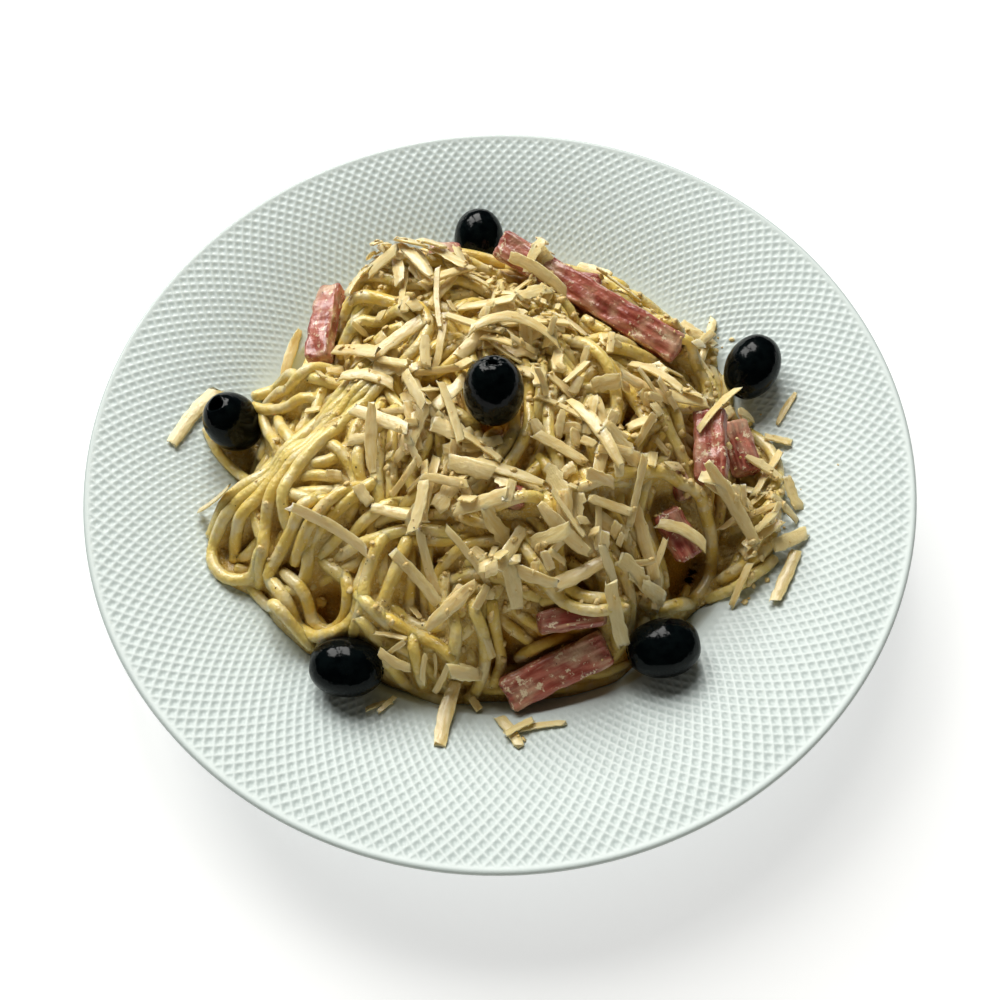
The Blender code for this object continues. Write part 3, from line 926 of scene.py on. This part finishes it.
def tube(line, radius, sides, step):
    """Corners and faces of a noodle along a line, with rounded closed ends."""
    length = np.concatenate([[0], np.cumsum(np.linalg.norm(np.diff(line, axis=0), axis=1))])
    count = max(4, int(length[-1] / step))
    wanted = np.linspace(0, length[-1], count)
    start, end = wanted[:1], wanted[-1:]
    wanted = np.concatenate([start, start + END_ROUND, wanted[1:-1], end - END_ROUND, end])
    middle = np.stack([np.interp(wanted, length, line[:, axis]) for axis in range(3)], 1)
    ahead = np.gradient(middle, axis=0)
    ahead /= np.linalg.norm(ahead, axis=1)[:, None]
    across = np.cross(ahead, [0, 0, 1.0])
    across /= np.linalg.norm(across, axis=1)[:, None] + 1e-12
    above = np.cross(across, ahead)
    uneven = 1 + 0.035 * np.sin(wanted * 230 + radius * 1e6) + 0.02 * np.sin(wanted * 610 + radius * 3e6)
    uneven += rng.normal(0, 0.010, len(wanted))
    size = radius * uneven
    size[[0, -1]] *= 0.45
    size[[1, -2]] *= 0.85
    turn = np.arange(sides) * math.tau / sides
    ring = np.cos(turn)[None, :, None] * across[:, None] + np.sin(turn)[None, :, None] * above[:, None]
    corners = (middle[:, None] + ring * size[:, None, None]).reshape(-1, 3)
    row, side = np.divmod(np.arange((len(middle) - 1) * sides), sides)
    a, b = row * sides + side, row * sides + (side + 1) % sides
    faces = np.stack([a, b, b + sides, a + sides], 1).tolist()
    last = (len(middle) - 1) * sides
    faces.append(list(range(sides))[::-1])
    faces.append(list(range(last, last + sides)))
    return corners, faces


parts = []
for line, radius in noodles:
    corners, faces = tube(line, radius, NOODLE_SIDES, TUBE_STEP)
    parts.append((corners, faces, rng.uniform(0, 1)))
pasta, tree, shader, place = food_material("sauced_spaghetti", 0.36, 0.45, (0.0020, 0.0017, 0.0011), 0.5)
dough = mixed(tree, attribute(tree, "tone"), (0.73, 0.525, 0.11, 1), (0.77, 0.625, 0.215, 1))
coated = mixed(tree, mottle(tree, place, 150.0, 0.44, 0.66), dough, (0.77, 0.65, 0.34, 1))
curds = mixed(tree, mottle(tree, place, 1100.0, 0.65, 0.76), coated, (0.90, 0.80, 0.50, 1))
# painted shade: dark golden where a noodle lies deep in the heap
coloured(tree, shader, curds, (0.46, 0.21, 0.008, 1))
bumpy(tree, shader, mottle(tree, place, 520.0, 0.2, 0.8), 0.00028)
noodle_piece = joined_mesh("noodles", parts, pasta)
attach(noodle_piece, "root")


# ---------------------------------------------------------------------------------------------------
# Ham. Sticks cut from a slab of smoked ham, with the meat's grain along them, worn edges, small dents
# and smears of cream sauce. Each starts as its own solid, cut finer and worn in along the grain.

HAM_CUTS = 3
HAM_GRAIN = 0.00016
HAM_MODIFIERS = (("REMESH", {"mode": "VOXEL", "voxel_size": 0.00055}), ("SMOOTH", {"iterations": 3}))
ALONG_GRAIN = (0.16, 1.0, 1.0)


def grain_axes(places):
    """A stick's middle and its long, wide and thick directions."""
    middle = places.mean(0)
    turned = np.linalg.svd(places - middle, full_matrices=False)[2]
    return middle, turned


def waves(places, seed, size, count=7):
    """Soft uneven lumps, about one high, from waves in random directions."""
    own = np.random.default_rng(seed)
    total = np.zeros(len(places))
    for _ in range(count):
        way = own.normal(0, 1, 3)
        way *= own.uniform(0.6, 1.6) * math.tau / size / np.linalg.norm(way)
        total += np.sin(places @ way + own.uniform(0, math.tau))
    return total / math.sqrt(count)


def drawn_out(tree, place, ratios):
    """The place with its three directions scaled, so that a pattern on it is drawn out along one of them."""
    return node(tree, "ShaderNodeVectorMath", {0: place, 1: ratios}, operation="MULTIPLY").outputs[0]


ham_paint, tree, shader, place = food_material("smoked_ham_with_sauce", 0.32, shine=0.4)
grain_in = attribute(tree, "grain", "Vector")
stretched = drawn_out(tree, grain_in, ALONG_GRAIN)
meat = mixed(tree, mottle(tree, stretched, 520.0), (0.25, 0.042, 0.028, 1), (0.47, 0.14, 0.095, 1))
fat = mixed(tree, mottle(tree, stretched, 300.0, 0.58, 0.72), meat, (0.60, 0.34, 0.22, 1))
film = mixed(tree, mottle(tree, grain_in, 120.0, 0.42, 0.82), fat, (0.66, 0.46, 0.30, 1))
smears = mottle(tree, grain_in, 300.0, 0.56, 0.66, 0.8)
coloured(tree, shader, mixed(tree, smears, film, (0.76, 0.62, 0.42, 1)))
bumpy(tree, shader, mottle(tree, grain_in, 600.0, 0.2, 0.8), 0.0002)

for seed, name in enumerate(ham_names):
    stick = nodes[name].copy()
    stick.data = nodes[name].data.copy()
    stick.name = name.replace("ham_", "ham_stick_")
    bpy.context.scene.collection.objects.link(stick)
    work_on(stick)
    bpy.ops.object.mode_set(mode="EDIT")
    bpy.ops.mesh.select_all(action="SELECT")
    bpy.ops.mesh.remove_doubles(threshold=0.00001)
    bpy.ops.mesh.tris_convert_to_quads()
    bpy.ops.mesh.subdivide(number_cuts=HAM_CUTS, smoothness=0.0)
    bpy.ops.object.mode_set(mode="OBJECT")
    for kind, settings in HAM_MODIFIERS:
        bpy.ops.object.modifier_add(type=kind)
        for setting, value in settings.items():
            setattr(stick.modifiers[-1], setting, value)
        bpy.ops.object.modifier_apply(modifier=stick.modifiers[-1].name)
    places = coordinates(stick.data)
    middle, axes = grain_axes(places)
    local = (places - middle) @ axes.T
    normals = np.empty(len(places) * 3)
    stick.data.vertices.foreach_get("normal", normals)
    normals = normals.reshape(-1, 3)
    fibres = waves(local * ALONG_GRAIN, 40 + seed, 0.0022) * HAM_GRAIN
    dents = np.minimum(waves(local, 80 + seed, 0.008), 0.6) * 0.00035
    set_coordinates(stick.data, places + normals * (fibres + dents - 0.0004)[:, None])
    grain = stick.data.attributes.new("grain", "FLOAT_VECTOR", "POINT")
    grain.data.foreach_set("vector", (local + seed * 0.05).ravel())
    stick.data.materials.clear()
    stick.data.materials.append(ham_paint)
    bpy.ops.object.shade_smooth()
    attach(stick, "root")
    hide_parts(name)


# ---------------------------------------------------------------------------------------------------
# Olives. Pitted black olives, glossy with brine: an egg-shaped body with a dimple at one end and the
# torn round pit hole at the other. Each is a ball drawn out to an egg, its top turned inwards.

OLIVE_LENGTH = 0.024
OLIVE_WIDTH = 0.019
PIT_DEPTH = 0.011
PIT_TURN = 0.62
OLIVE_WAYS = {
    "olive_top": (0.00, 0.32, 0.95),
    "olive_back": (0.00, -0.90, -0.44),
    "olive_left": (-0.30, 0.06, 0.95),
    "olive_right": (-0.46, -0.80, -0.38),
    "olive_front_left": (0.99, -0.08, -0.05),
    "olive_front_right": (-0.98, -0.19, -0.08),
}
# Polar angle at which each olive's skin turns into its pit hole: a small one has almost closed
USUAL_MOUTH = 0.2
OLIVE_MOUTHS = {"olive_top": 0.13, "olive_left": 0.27}
olive_skin, tree, shader, place = food_material("black_olive_skin", 0.13)
skin_tone = mixed(tree, mottle(tree, place, 300.0), (0.0006, 0.0014, 0.0018, 1), (0.0022, 0.0040, 0.0044, 1))
coloured(tree, shader, skin_tone)
shader.inputs["Specular IOR Level"].default_value = 0.13
bumpy(tree, shader, mottle(tree, place, 170.0, 0.1, 0.9), 0.0005, 0.5)

for seed, name in enumerate(olive_names):
    low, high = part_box(name)
    middle = (np.array(low) + np.array(high)) / 2
    olive = first_shape(bpy.ops.mesh.primitive_uv_sphere_add, segments=56, ring_count=44, radius=1.0)
    olive.name = name + "_pitted"
    ball = coordinates(olive.data)
    fall = np.arccos(np.clip(ball[:, 2], -1, 1))
    around_it = np.arctan2(ball[:, 1], ball[:, 0])
    # The uppermost part of the ball turns inwards and becomes the pit hole
    down = np.clip((PIT_TURN - fall) / PIT_TURN, 0, 1)
    skin = np.maximum(fall, PIT_TURN)
    opening = OLIVE_MOUTHS.get(name, USUAL_MOUTH)
    body_angle = (skin - PIT_TURN) / (math.pi - PIT_TURN) * (math.pi - opening) + opening
    reach = OLIVE_WIDTH / 2 * np.sin(body_angle) ** 0.96
    height = OLIVE_LENGTH / 2 * np.cos(body_angle)
    # round a hole that has almost closed the skin sinks in folds
    sunk = 0.0016 * np.clip(1 - opening / 0.27, 0, 1) * np.exp(-(body_angle**2) / 0.06)
    sunk *= 1 + 0.5 * np.sin(5 * around_it + 2 * np.sin(2 * around_it))
    height -= sunk
    rim_reach, rim_height = OLIVE_WIDTH / 2 * math.sin(opening) ** 0.96, OLIVE_LENGTH / 2 * math.cos(opening)
    rim_height = rim_height - sunk
    inner = np.where(down < 0.9, rim_reach * (1 - 0.15 * down), rim_reach * 8.5 * (1 - down))
    reach = np.where(down > 0, inner, reach)
    height = np.where(down > 0, rim_height - PIT_DEPTH * np.minimum(down / 0.9, 1.0) ** 1.3, height)
    # a dimple at the far end, where the stalk or the tip was
    height += 0.0011 * np.exp(-((math.pi - fall) ** 2) / 0.03)
    torn = 1 + 0.10 * np.sin(3 * around_it + seed) * np.exp(-((fall - PIT_TURN) ** 2) / 0.05)
    places = np.stack([reach * torn * np.cos(around_it), reach * torn * np.sin(around_it), height], 1)
    places *= (1 + 0.010 * waves(places, 300 + seed, 0.014))[:, None]
    turn = Vector((0, 0, 1)).rotation_difference(Vector(OLIVE_WAYS[name]).normalized()).to_matrix()
    set_coordinates(olive.data, places @ np.array(turn).T + middle)
    bpy.ops.object.shade_smooth()
    olive.data.materials.append(olive_skin)
    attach(olive, "root")
    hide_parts(name)


# ---------------------------------------------------------------------------------------------------
# Cheese. Coarsely grated hard cheese: thin strips and flakes with ragged ends, stiff enough to bridge
# the noodles. A few strips are modelled and then laid by the hundred on what lies under them.

BAR_KINDS = 9
FLAKE_KINDS = 5
STRIP_CUTS = 8
LENGTHS = (0.004, 0.025)
WIDTHS = (0.0020, 0.0048)
THICKNESSES = (0.0011, 0.0019)
FLAKE_SHARE = 0.14
STRIPS = 400
STRIP_SINK = 0.0004
CHEESE_SEED = 41


def model_strip(seed):
    """A grated strip one long, one wide and one thick: a flat bar with worn edges and blunt broken ends."""
    strip = first_shape(bpy.ops.mesh.primitive_cube_add, size=1.0)
    bpy.ops.object.mode_set(mode="EDIT")
    bpy.ops.mesh.select_mode(type="EDGE")

    def select_long_edges():
        bpy.ops.mesh.select_all(action="DESELECT")
        shape = bmesh.from_edit_mesh(strip.data)
        for edge in shape.edges:
            edge.select = abs(edge.verts[0].co.x - edge.verts[1].co.x) > 0.9
        bmesh.update_edit_mesh(strip.data)

    select_long_edges()
    bpy.ops.mesh.bevel(offset=0.14, segments=1, affect="EDGES")
    select_long_edges()
    bpy.ops.mesh.subdivide(number_cuts=STRIP_CUTS)
    bpy.ops.object.mode_set(mode="OBJECT")
    places = coordinates(strip.data)
    faces = [tuple(face.vertices) for face in strip.data.polygons]
    bpy.data.objects.remove(strip)
    own = np.random.default_rng(500 + seed)
    # the worn edge is as wide on the flat side as on the thin one
    places[:, 1] *= np.where(np.abs(places[:, 1]) < 0.4, 0.41 / 0.36, 1.0)
    places[:, 2] *= np.where(np.abs(places[:, 2]) < 0.4, 0.27 / 0.36, 1.0)
    u, v, w = places.T
    front = (u > 0).astype(int)
    end = np.abs(u) * 2
    station = np.rint((u + 0.5) * (STRIP_CUTS + 1)).astype(int)
    ragged = 0.13 if seed >= BAR_KINDS else 0.055
    # one end in eight runs out thin, the others are broken off blunt
    thinning = np.where(own.uniform(0, 1, 2) < 0.12, 0.5, own.uniform(0.0, 0.2, 2))[front]
    narrow = (1 - thinning * end**2.5) * (1 + own.normal(0, ragged, STRIP_CUTS + 2)[station])
    thin = (1 - 0.3 * thinning * end**3) * (1 - own.uniform(0, 0.3) * (v + 0.5))
    slant = own.uniform(-0.05, 0.05, 2)[front]
    at_end = end > 0.99
    jagged = own.normal(0, 0.035, len(places))
    twist = own.uniform(-0.10, 0.10) * u
    shift = own.normal(0, ragged * 0.5, STRIP_CUTS + 2)[station]
    places[:, 0] = u + at_end * (slant * v * 2 + jagged)
    places[:, 1] = v * narrow * np.where(at_end, 0.93, 1.0) + 0.04 * np.sin(3.5 * u + seed) + shift
    places[:, 2] = w * thin * np.where(at_end, 0.85, 1.0) + twist * v
    return places, faces


rng = np.random.default_rng(CHEESE_SEED)
strips = [model_strip(seed) for seed in range(BAR_KINDS + FLAKE_KINDS)]
strip_parts = []


def lay_strip(x, y, heading, length, width, thick, flex=0.5, lift=0.0, bend=0.0, kind=None):
    """Lays one strip: it gives a little to what lies under it, touches at two places and rolls sideways."""
    places, faces = strips[rng.integers(BAR_KINDS) if kind in (None, "placed") else kind]
    stations = np.linspace(-0.5, 0.5, 9)
    sides = np.linspace(-0.5, 0.5, 3)
    c, s = math.cos(heading), math.sin(heading)
    along = stations[:, None] * length + 0 * sides
    across = sides[None] * width + bend * length * stations[:, None] ** 2
    under = read_map(level, x + along * c - across * s, y + along * s + across * c)
    ridge_line = under.max(1)
    bow = float(np.clip(np.polyfit(stations, ridge_line, 2)[0], -0.3 * length, 0.2 * length))
    left, right = np.meshgrid(range(0, 5), range(4, 9), indexing="ij")
    gap = np.maximum(stations[right] - stations[left], 1e-6)
    for give in (flex, 0.75, 1.0):
        # the pair of stations, one on each side, that holds the middle highest
        resting = ridge_line - give * bow * stations**2
        middle = (resting[left] * stations[right] - resting[right] * stations[left]) / gap
        middle = np.where(right == left, resting[left], middle)
        best = np.unravel_index(np.argmax(middle), middle.shape)
        slope = (resting[right[best]] - resting[left[best]]) / (gap[best] if right[best] != left[best] else 1)
        slope = float(np.clip(slope, -0.9 * length, 0.9 * length))
        line = middle[best] + slope * stations + give * bow * stations**2
        if max(line[0] - ridge_line[0], line[-1] - ridge_line[-1]) < 0.003:
            break
    if kind != "placed" and max(line[0] - ridge_line[0], line[-1] - ridge_line[-1]) > 0.005:
        return
    line = line + lift * (stations + 0.5) - STRIP_SINK
    roll = float(np.clip((under[:, 2] - under[:, 0]).mean() / width, -0.9, 0.9)) * 0.8 + rng.normal(0, 0.12)
    u, v, w = places.T
    base = middle[best] - STRIP_SINK + slope * u + give * bow * u**2 + lift * (u + 0.5)
    height = base + roll * v * width + (w + 0.5) * thick
    v_there = v * width / math.hypot(1, roll) + bend * length * u**2
    tilt = math.hypot(1, slope / length)
    u_there = u * length / tilt
    laid = np.stack([x + u_there * c - v_there * s, y + u_there * s + v_there * c, height], 1)
    laid[:, 2] = np.maximum(laid[:, 2], read_map(bare_plate, laid[:, 0], laid[:, 1]) - 0.0002)
    tone, own_place = rng.uniform(0, 1), places * [length, width, thick] + rng.uniform(0, 1, 3)
    strip_parts.append((laid, faces, tone, own_place))
    fine_u, fine_v = np.meshgrid(np.linspace(-0.48, 0.48, int(length / 0.0006)), np.linspace(-0.45, 0.45, 7))
    top = np.interp(fine_u, stations, line) + roll * fine_v * width + thick
    at_v = fine_v * width / math.hypot(1, roll) + bend * length * fine_u**2
    at_x, at_y = x + fine_u / tilt * length * c - at_v * s, y + fine_u / tilt * length * s + at_v * c
    i, j = (np.clip(nearest_cell(at), 0, cells_across - 1) for at in (at_x, at_y))
    np.maximum.at(level, (i, j), top)


# Where the cheese fell: x, y, spread in millimetres and how thickly
CHEESE_FALLS = (
    (4, 8, 28, 0.7), (42, -4, 24, 0.7), (62, 6, 16, 0.6), (70, -22, 14, 0.6), (-8, 50, 26, 1.0),
    (-34, 66, 14, 0.8), (30, 44, 20, 0.8), (-26, -16, 18, 1.0), (10, -44, 20, 0.8), (40, -48, 14, 0.7),
    (-14, -60, 16, 0.4), (-44, 22, 14, 0.5), (80, -12, 8, 0.9), (82, -28, 8, 0.8), (78, 22, 8, 0.6),
)
# Places that stay bare, and places beside the heap: x, y, spread in millimetres and how thickly
BARE_PLACES = (
    (-74, -8, 18), (-72, -44, 18), (-62, -60, 14), (-58, -20, 14), (-60, 38, 9), (-61, 54, 8),
    (20, -77, 9), (10, -82, 7), (31, -71, 7), (32, 53, 7), (44, 44, 7), (56, 35, 7),
    (72, -4, 7), (84, 0, 6), (59, -36, 6), (-8, 78, 9), (6, 75, 7), (-18, 80, 7), (8, 68, 5),
)
cheese_thickness = np.zeros(map_x.shape)
for x, y, spread_out, amount in CHEESE_FALLS:
    cheese_thickness += amount * soft_patch(x, y, spread_out)
for x, y, spread_out in BARE_PLACES:
    cheese_thickness *= 1 - 0.92 * soft_patch(x, y, spread_out)
cheese_thickness = np.minimum(cheese_thickness, 1.0) * (thickness > 0.001)
BESIDE = (
    (86, -12, 10, 0.9), (88, -28, 9, 0.8), (84, -42, 8, 0.6), (82, 16, 8, 1.0), (73, 33, 9, 1.0),
    (62, 46, 8, 0.7), (75, 45, 8, 1.0), (-50, 64, 9, 0.8), (-40, 72, 8, 0.8), (92, 2, 6, 0.6),
    (48, 62, 8, 0.5), (-40, 63, 7, 1.0),
)
for x, y, spread_out, amount in BESIDE:
    cheese_thickness += amount * soft_patch(x, y, spread_out)
olives_on_map = np.maximum.reduce([np.isfinite(tops[name]) for name in olive_names])
cheese_thickness[(thickness < 0.001) & (cheese_thickness < 0.08)] = 0
near_olive = blur(olives_on_map.astype(float), 3) > 0.02
cheese_thickness[near_olive] = 0
# Ham that shows stays almost free of cheese
SHOWN_HAM = ("ham_back_long", "ham_front", "ham_right_upper", "ham_right_lower", "ham_back_left")
shown_ham = np.maximum.reduce([np.isfinite(tops[name]) for name in SHOWN_HAM]).astype(float)
# but the near half of the long stick has some on it
shown_ham[(map_x > 0.004) & (map_x < 0.024) & (map_y > 0.04)] = 0
cheese_thickness *= 1 - 0.9 * np.clip(blur(shown_ham, 2) * 2, 0, 1)


def overlap(field, x, y, heading, length):
    """The highest value of a map along a strip's middle line."""
    along = np.linspace(-0.5, 0.5, 9) * (length + 0.002)
    return read_map(field, x + along * math.cos(heading), y + along * math.sin(heading)).max()


def drop_strips(count):
    """Lays strips by chance, more where more cheese fell."""
    chances = (cheese_thickness / cheese_thickness.sum()).ravel()
    for place in rng.choice(len(chances), count, p=chances):
        x, y = map_x.ravel()[place], map_y.ravel()[place]
        length = LENGTHS[0] + (LENGTHS[1] - LENGTHS[0]) * rng.uniform() ** 1.7
        width = WIDTHS[0] + (WIDTHS[1] - WIDTHS[0]) * rng.uniform() ** 1.2
        thick = rng.uniform(*THICKNESSES)
        heading = rng.uniform(0, math.tau)
        kind = None
        if rng.uniform() < FLAKE_SHARE:
            length, width = rng.uniform(0.009, 0.016), rng.uniform(0.0040, 0.0056)
            thick = rng.uniform(0.0008, 0.0012)
            kind = BAR_KINDS + rng.integers(FLAKE_KINDS)
        if overlap(near_olive, x, y, heading, length) > 0.1:
            continue
        if overlap(shown_ham, x, y, heading, length) > 0.5:
            continue
        lay_strip(
            x, y, heading, length, width, thick,
            flex=rng.uniform(0.1, 0.5), lift=abs(rng.normal(0, 0.0006)), bend=rng.normal(0, 0.06), kind=kind,
        )


# Curds of sauce and the finest gratings stick to the noodles and lie under the strips
CURDS = 1500


def model_bit(seed, uneven):
    """A small uneven grain one across."""
    bit = first_shape(bpy.ops.mesh.primitive_ico_sphere_add, subdivisions=1, radius=0.5)
    places = coordinates(bit.data) * (1 + np.random.default_rng(700 + seed).normal(0, uneven, (12, 3)))
    faces = [tuple(face.vertices) for face in bit.data.polygons]
    bpy.data.objects.remove(bit)
    return places, faces


def scatter_bits(count, chances, smallest, largest, uneven, sizes=(1.0, 0.55, 0.36)):
    """Bits dropped by chance on what lies under them, each turned its own way."""
    bits = [model_bit(seed, uneven) for seed in range(4)]
    made = []
    spots = rng.choice(chances.size, count, p=(chances / chances.sum()).ravel())
    for spot in spots:
        x, y = map_x.ravel()[spot], map_y.ravel()[spot]
        x, y = x + rng.uniform(-0.5, 0.5) * CELL, y + rng.uniform(-0.5, 0.5) * CELL
        places, faces = bits[rng.integers(4)]
        size = smallest + (largest - smallest) * rng.uniform() ** 2
        spin = rng.uniform(0, math.tau)
        slope = [
            float(read_map(level, x + dx, y + dy) - read_map(level, x - dx, y - dy)) / 0.002
            for dx, dy in ((0.001, 0), (0, 0.001))
        ]
        local = places * np.array(sizes) * size
        c, s = math.cos(spin), math.sin(spin)
        flat_x, flat_y = local[:, 0] * c - local[:, 1] * s, local[:, 0] * s + local[:, 1] * c
        tip = np.clip(slope, -0.8, 0.8)
        base = read_map(level, x, y) + 0.35 * sizes[2] * size
        height = base + flat_x * tip[0] + flat_y * tip[1] + local[:, 2]
        height = np.maximum(height, read_map(bare_plate, x + flat_x, y + flat_y) - 0.0002)
        made.append((np.stack([x + flat_x, y + flat_y, height], 1), faces, rng.uniform(0, 1)))
    return made


curd_chances = np.where(near_olive, 0, 0.25 * creamy_places * (thickness > 0.004) + cheese_thickness)
curd_parts = scatter_bits(CURDS, curd_chances, 0.0008, 0.0032, 0.16, (1.0, 0.8, 0.45))
drop_strips(STRIPS)

# Strips that show most: both ends in millimetres, width, and how far the middle bows to the left
PLACED_STRIPS = (
    (-64, -34, -40, -47, 3.6, 1.5), (-39, -2, -39, -23, 4.4, -0.5), (-13, -21, 14, -29, 4.2, 0.8),
    (23, 2, 38, -24, 4.0, 1.0), (-6, -56, -22, -69, 4.4, 0.5), (-32, -47, -18, -62, 4.0, 0.4),
    (34, -55, 40, -74, 4.4, -0.8), (2, -51, 7, -64, 4.6, 0.4), (-5, -67, -1, -76, 3.2, 0.0),
    (-13, -79, -4, -79, 3.0, 0.0), (51, -34, 67, -40, 4.2, 1.4), (65, -16, 86, -39, 4.4, 1.0),
    (-9, 22, 20, 23, 4.4, 6.5), (-114, 3, -102, 27, 4.8, 0.8), (-105, -21, -85, -21, 4.2, -0.6),
    (-18, -101, -14, -80, 4.6, 0.6), (-9, -83, -6, -88, 3.0, 0.0), (0, -90, 7, -101, 3.6, 0.4),
    (7, -95, 21, -93, 2.2, 0.5), (2, -97, 11, -92, 3.0, 0.0), (99, 13, 106, 24, 2.4, 0.3),
    (-42, -89, -34, -86, 1.8, 0.6), (-38, -90, -33, -84, 1.6, 0.0), (-75, 57, -80, 36, 3.6, -0.6),
    (30, 86, 43, 80, 4.6, 0.6), (31, -46, 37, -56, 4.0, 0.0), (-18, 6, -11, -16, 3.2, 0.5),
    (-30, 12, -22, -8, 3.6, -0.5), (-52, 14, -34, 10, 4.6, 1.5), (-34, 64, -22, 47, 3.8, 0.5),
    (4, 62, 24, 48, 3.6, 0.5), (-22, -28, -26, -44, 4.2, 0.5), (44, 22, 60, 6, 3.8, 0.6),
    (12, -12, 28, -20, 4.0, 0.4), (-1, -27, -14, -22, 5.0, 0.3), (-46, 57, -33, 61, 4.8, 0.3),
    (-35, 64, -24, 62, 4.4, -0.3), (-52, 48, -47, 57, 4.0, 0.3), (-27, 67, -18, 64, 4.4, 0.2),
    (-58, 31, -38, 19, 4.6, 0.8), (-12, 16, -8, 4, 4.6, 0.0), (66, -2, 80, 12, 3.4, 0.5),
    (62, 14, 76, 16, 3.6, -0.6), (74, 40, 66, 28, 3.8, 0.6), (90, -20, 102, -26, 3.2, 0.5),
    (84, -5, 96, -12, 3.6, 0.6), (94, 8, 103, 5, 3.4, 0.0), (68, 50, 77, 46, 4.0, 0.4),
    (72, 42, 79, 50, 3.2, 0.0), (82, 12, 92, 15, 3.2, 1.0), (-38, -69, -28, -71, 1.6, 0.3),
    (-36, -75, -28, -72, 1.6, 0.0), (-37, -74, -27, -79, 3.0, -0.8), (-24, -83, -22, -74, 2.0, 0.3),
    (-20, -80, -20, -73, 1.4, -0.4), (-15, -77, -21, -84, 2.2, 0.2), (-4, -79, -16, -82, 4.4, 0.5),
)
for x1, y1, x2, y2, width, bow in PLACED_STRIPS:
    chord = math.hypot(x2 - x1, y2 - y1)
    middle_x = (x1 + x2) / 2 - bow * (y2 - y1) / chord
    middle_y = (y1 + y2) / 2 + bow * (x2 - x1) / chord
    lay_strip(
        middle_x / 1000, middle_y / 1000, math.atan2(y2 - y1, x2 - x1), chord / 1000, width / 1000,
        rng.uniform(0.0011, 0.0016), flex=0.5, bend=-4 * bow / chord, kind="placed",
    )

cheese, tree, shader, place = food_material("grated_hard_cheese", 0.34, 0.7, (0.0014, 0.0013, 0.0012), 0.3)
own_place = attribute(tree, "own_place", "Vector")
streaks = mottle(tree, drawn_out(tree, own_place, (0.2, 1.0, 1.0)), 900.0, 0.3, 0.7)
paste = mixed(tree, attribute(tree, "tone"), (0.75, 0.56, 0.22, 1), (0.78, 0.64, 0.315, 1))
mealy = mixed(tree, streaks, paste, (0.82, 0.69, 0.38, 1))
# painted shade: dark golden where a strip lies deep among the noodles
coloured(tree, shader, mealy, (0.54, 0.28, 0.03, 1))
lumps = mottle(tree, own_place, 260.0, 0.2, 0.8)
faint = node(tree, "ShaderNodeMath", {0: streaks, 1: 0.22, 2: lumps}, operation="MULTIPLY_ADD").outputs[0]
bumpy(tree, shader, faint, 0.0003)
cheese_piece = joined_mesh("grated_cheese", strip_parts, cheese)
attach(cheese_piece, "root")
work_on(cheese_piece)
bpy.ops.object.shade_smooth_by_angle(angle=math.radians(50))


# ---------------------------------------------------------------------------------------------------
# Crumbs and pepper. Small broken bits of the same cheese lie over the heap and beside it on the plate,
# and coarse black pepper sticks to the sauce on the noodles.

CRUMBS = 420
PEPPER = 110
# Where crumbs lie thickest: x, y, spread in millimetres and how thickly
CRUMB_PLACES = ((86, -12, 14, 0.8), (6, -94, 6, 0.9), (-36, -84, 5, 0.5), (80, -45, 10, 0.35))
beside_heap = sum(amount * soft_patch(x, y, spread_out) for x, y, spread_out, amount in CRUMB_PLACES)
crumb_chances = np.where(near_olive, 0, 0.3 * cheese_thickness + beside_heap + 0.04 * (thickness > 0.004))
crumb_chances *= 1 - 0.75 * np.clip(shown_ham, 0, 1)
crumb_parts = scatter_bits(CRUMBS, crumb_chances, 0.0007, 0.0032, 0.13)
crumb_paint, tree, shader, place = food_material("crumbs_and_curds", 0.42)
crumb_tone = mixed(tree, mottle(tree, place, 600.0), (0.76, 0.54, 0.19, 1), (0.82, 0.66, 0.33, 1))
# painted shade: darker where a crumb lies deep in the heap
coloured(tree, shader, crumb_tone, (0.46, 0.26, 0.04, 1))
bumpy(tree, shader, mottle(tree, place, 1500.0), 0.0001)
crumb_piece = joined_mesh("cheese_crumbs", curd_parts + crumb_parts, crumb_paint)
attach(crumb_piece, "root")

pepper_paint, tree, shader, place = food_material("ground_black_pepper", 0.7)
pepper_tone = mixed(tree, mottle(tree, place, 900.0), (0.012, 0.009, 0.006, 1), (0.05, 0.03, 0.018, 1))
coloured(tree, shader, pepper_tone)
off_cheese = np.clip(1.0 - 1.2 * cheese_thickness, 0.008, 1)
pepper_chances = np.where(near_olive, 0, (thickness > 0.006) * off_cheese)
pepper_chances *= np.where(map_x < -0.02, 1.0, 0.25)
pepper_parts = scatter_bits(PEPPER, pepper_chances, 0.0003, 0.0008, 0.2)
pepper_piece = joined_mesh("black_pepper", pepper_parts, pepper_paint, smooth=False)
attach(pepper_piece, "root")
